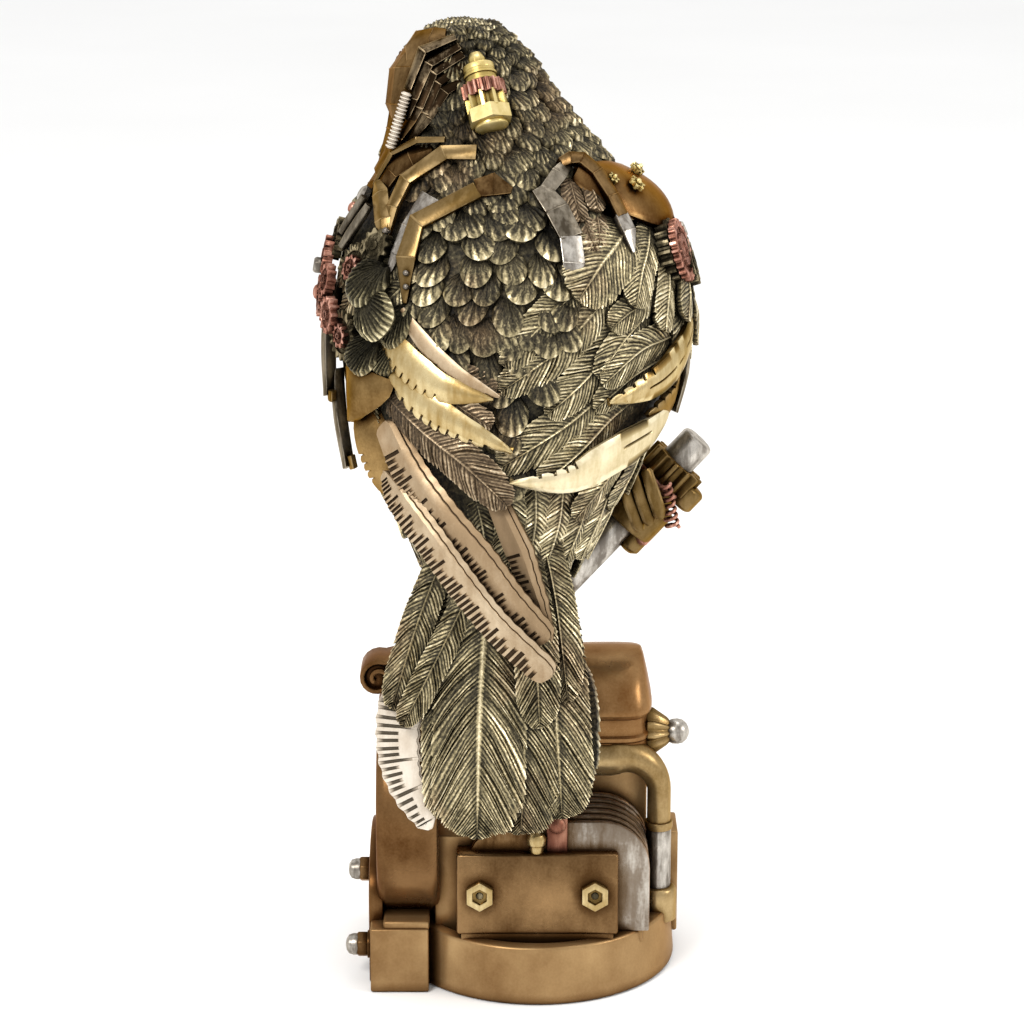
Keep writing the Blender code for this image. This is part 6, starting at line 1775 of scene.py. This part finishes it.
BASE_R = 40
PLATE_WIDE, PLATE_TALL, PLATE_DEEP, PLATE_FOOT = 45.5, 23.5, 9, 18.5
lean = math.radians(5)
PLATE_UP = np.array((0, math.sin(lean), math.cos(lean)))
PLATE_OUT = np.array((0, -math.cos(lean), math.sin(lean)))
plate_low = np.array((0, -math.sqrt(BASE_R**2 - (PLATE_WIDE / 2) ** 2), PLATE_FOOT))
plate_mid = plate_low + PLATE_UP * (PLATE_TALL / 2)
bpy.ops.mesh.primitive_cube_add(size=1, scale=(PLATE_WIDE * MM, PLATE_TALL * MM, PLATE_DEEP * MM))
nut_plate = bpy.context.object
bpy.ops.object.transform_apply(scale=True)
soften(nut_plate, 0.9, 3)
plate_axes = Matrix((Vector(RIGHTWARD), Vector(PLATE_UP), Vector(PLATE_OUT))).transposed().to_4x4()
plate_place = Matrix.Translation(Vector(plate_mid - PLATE_OUT * (PLATE_DEEP / 2)) * MM)
nut_plate.data.transform(plate_place @ plate_axes)
plate_foot = block((-21.5, -32.2, SUNK), (21.5, -22, 19.5), 0.3)
gather("nut_plate", "plate_brown", [nut_plate, plate_foot])


def on_all(places, axis, profile, sides, edge=0.0):
    """The same turned part at several places."""
    return [stand(turned(profile, sides, edge), place, axis) for place in places]


nut_places = [plate_mid + np.array((side * 16.2, 0, 0)) for side in (-1, 1)]
nut = [(-1.0, 4.2), (2.6, 4.2), (2.6, 2.31), (1.04, 2.31)]
nut_core = [(-1, 2.3), (0.9, 2.3), (0.9, 1.2), (1.3, 0.9)]
gather("plate_nuts", "gold", on_all(nut_places, PLATE_OUT, nut, 6, 0.2))
gather("nut_cores", "dark", on_all(nut_places, PLATE_OUT, nut_core, 16))
tag_low = PLATE_FOOT + PLATE_TALL - 2
tag_button = [(-0.5, 2.4), (0.5, 2.4), (1.2, 1.9), (1.8, 1.0), (1.9, 0.3)]
gather("tag", "red_copper", [
    block((2.5, -28.2, tag_low), (8.5, -23, tag_low + 13.5), 0.5),
    stand(turned(tag_button, 24), (5.5, -28.2, tag_low + 9.6), (0, -1, 0))])
bolt_places = [(FLANGE_X, -20.2, 10.2), (FLANGE_X, 0, 25.0)]
gather("bolt_nuts", "plate_brown",
       on_all(bolt_places, LEFTWARD, [(-0.5, 4.0), (0.6, 4.0), (0.6, 3.7)], 32, 0.15)
       + on_all(bolt_places, LEFTWARD, [(0.5, 3.8), (3.2, 3.8), (3.6, 3.3)], 6, 0.25))
bolt_cap = [(3.2, 3.1), (4.6, 3.1), (5.9, 2.7), (6.6, 1.6), (6.8, 0.5)]
gather("bolt_caps", "silver", on_all(bolt_places, LEFTWARD, bolt_cap, 24))
rivet_places = [(GAUGE_X + side * 18.4, CASE_FRONT, 17 + 10.5 * h) for h in (0.6, 2.2) for side in (-1, 1)]
front_rivets = on_all(rivet_places, FORWARD, [(-0.5, 1.8), (0.6, 1.8), (1.5, 1.3), (1.8, 0.5)], 16)
needle = block((5.5, CASE_FRONT + 1.7, 45), (6.3, CASE_FRONT + 2.3, 54), 0.1)
plate_knob = [(-1, 2.0), (1.2, 2.0), (1.6, 2.6), (3.4, 2.8), (4.6, 2.2), (5.2, 1.0)]
side_knob = stand(turned(plate_knob, 20), (-0.2, -28.4, 42.6), UPWARD)
gather("front_rivets", "gold", front_rivets + [needle, side_knob])
DIAL_MARKS, DIAL_START_DEG, DIAL_STEP_DEG, DIAL_R = 11, 225, 27, 7.2
marks = []
for k in range(DIAL_MARKS):
    a = math.radians(DIAL_START_DEG - DIAL_STEP_DEG * k)
    mid = (GAUGE_X + DIAL_R * math.cos(a), CASE_FRONT + 1.9, GAUGE_Z + DIAL_R * math.sin(a))
    marks.append(stand(block((-0.25, -0.9, -0.3), (0.25, 0.9, 0.3), 0.05), mid, FORWARD))
gather("dial_marks", "white_metal", marks)

# %% Finish
bpy.context.view_layer.update()
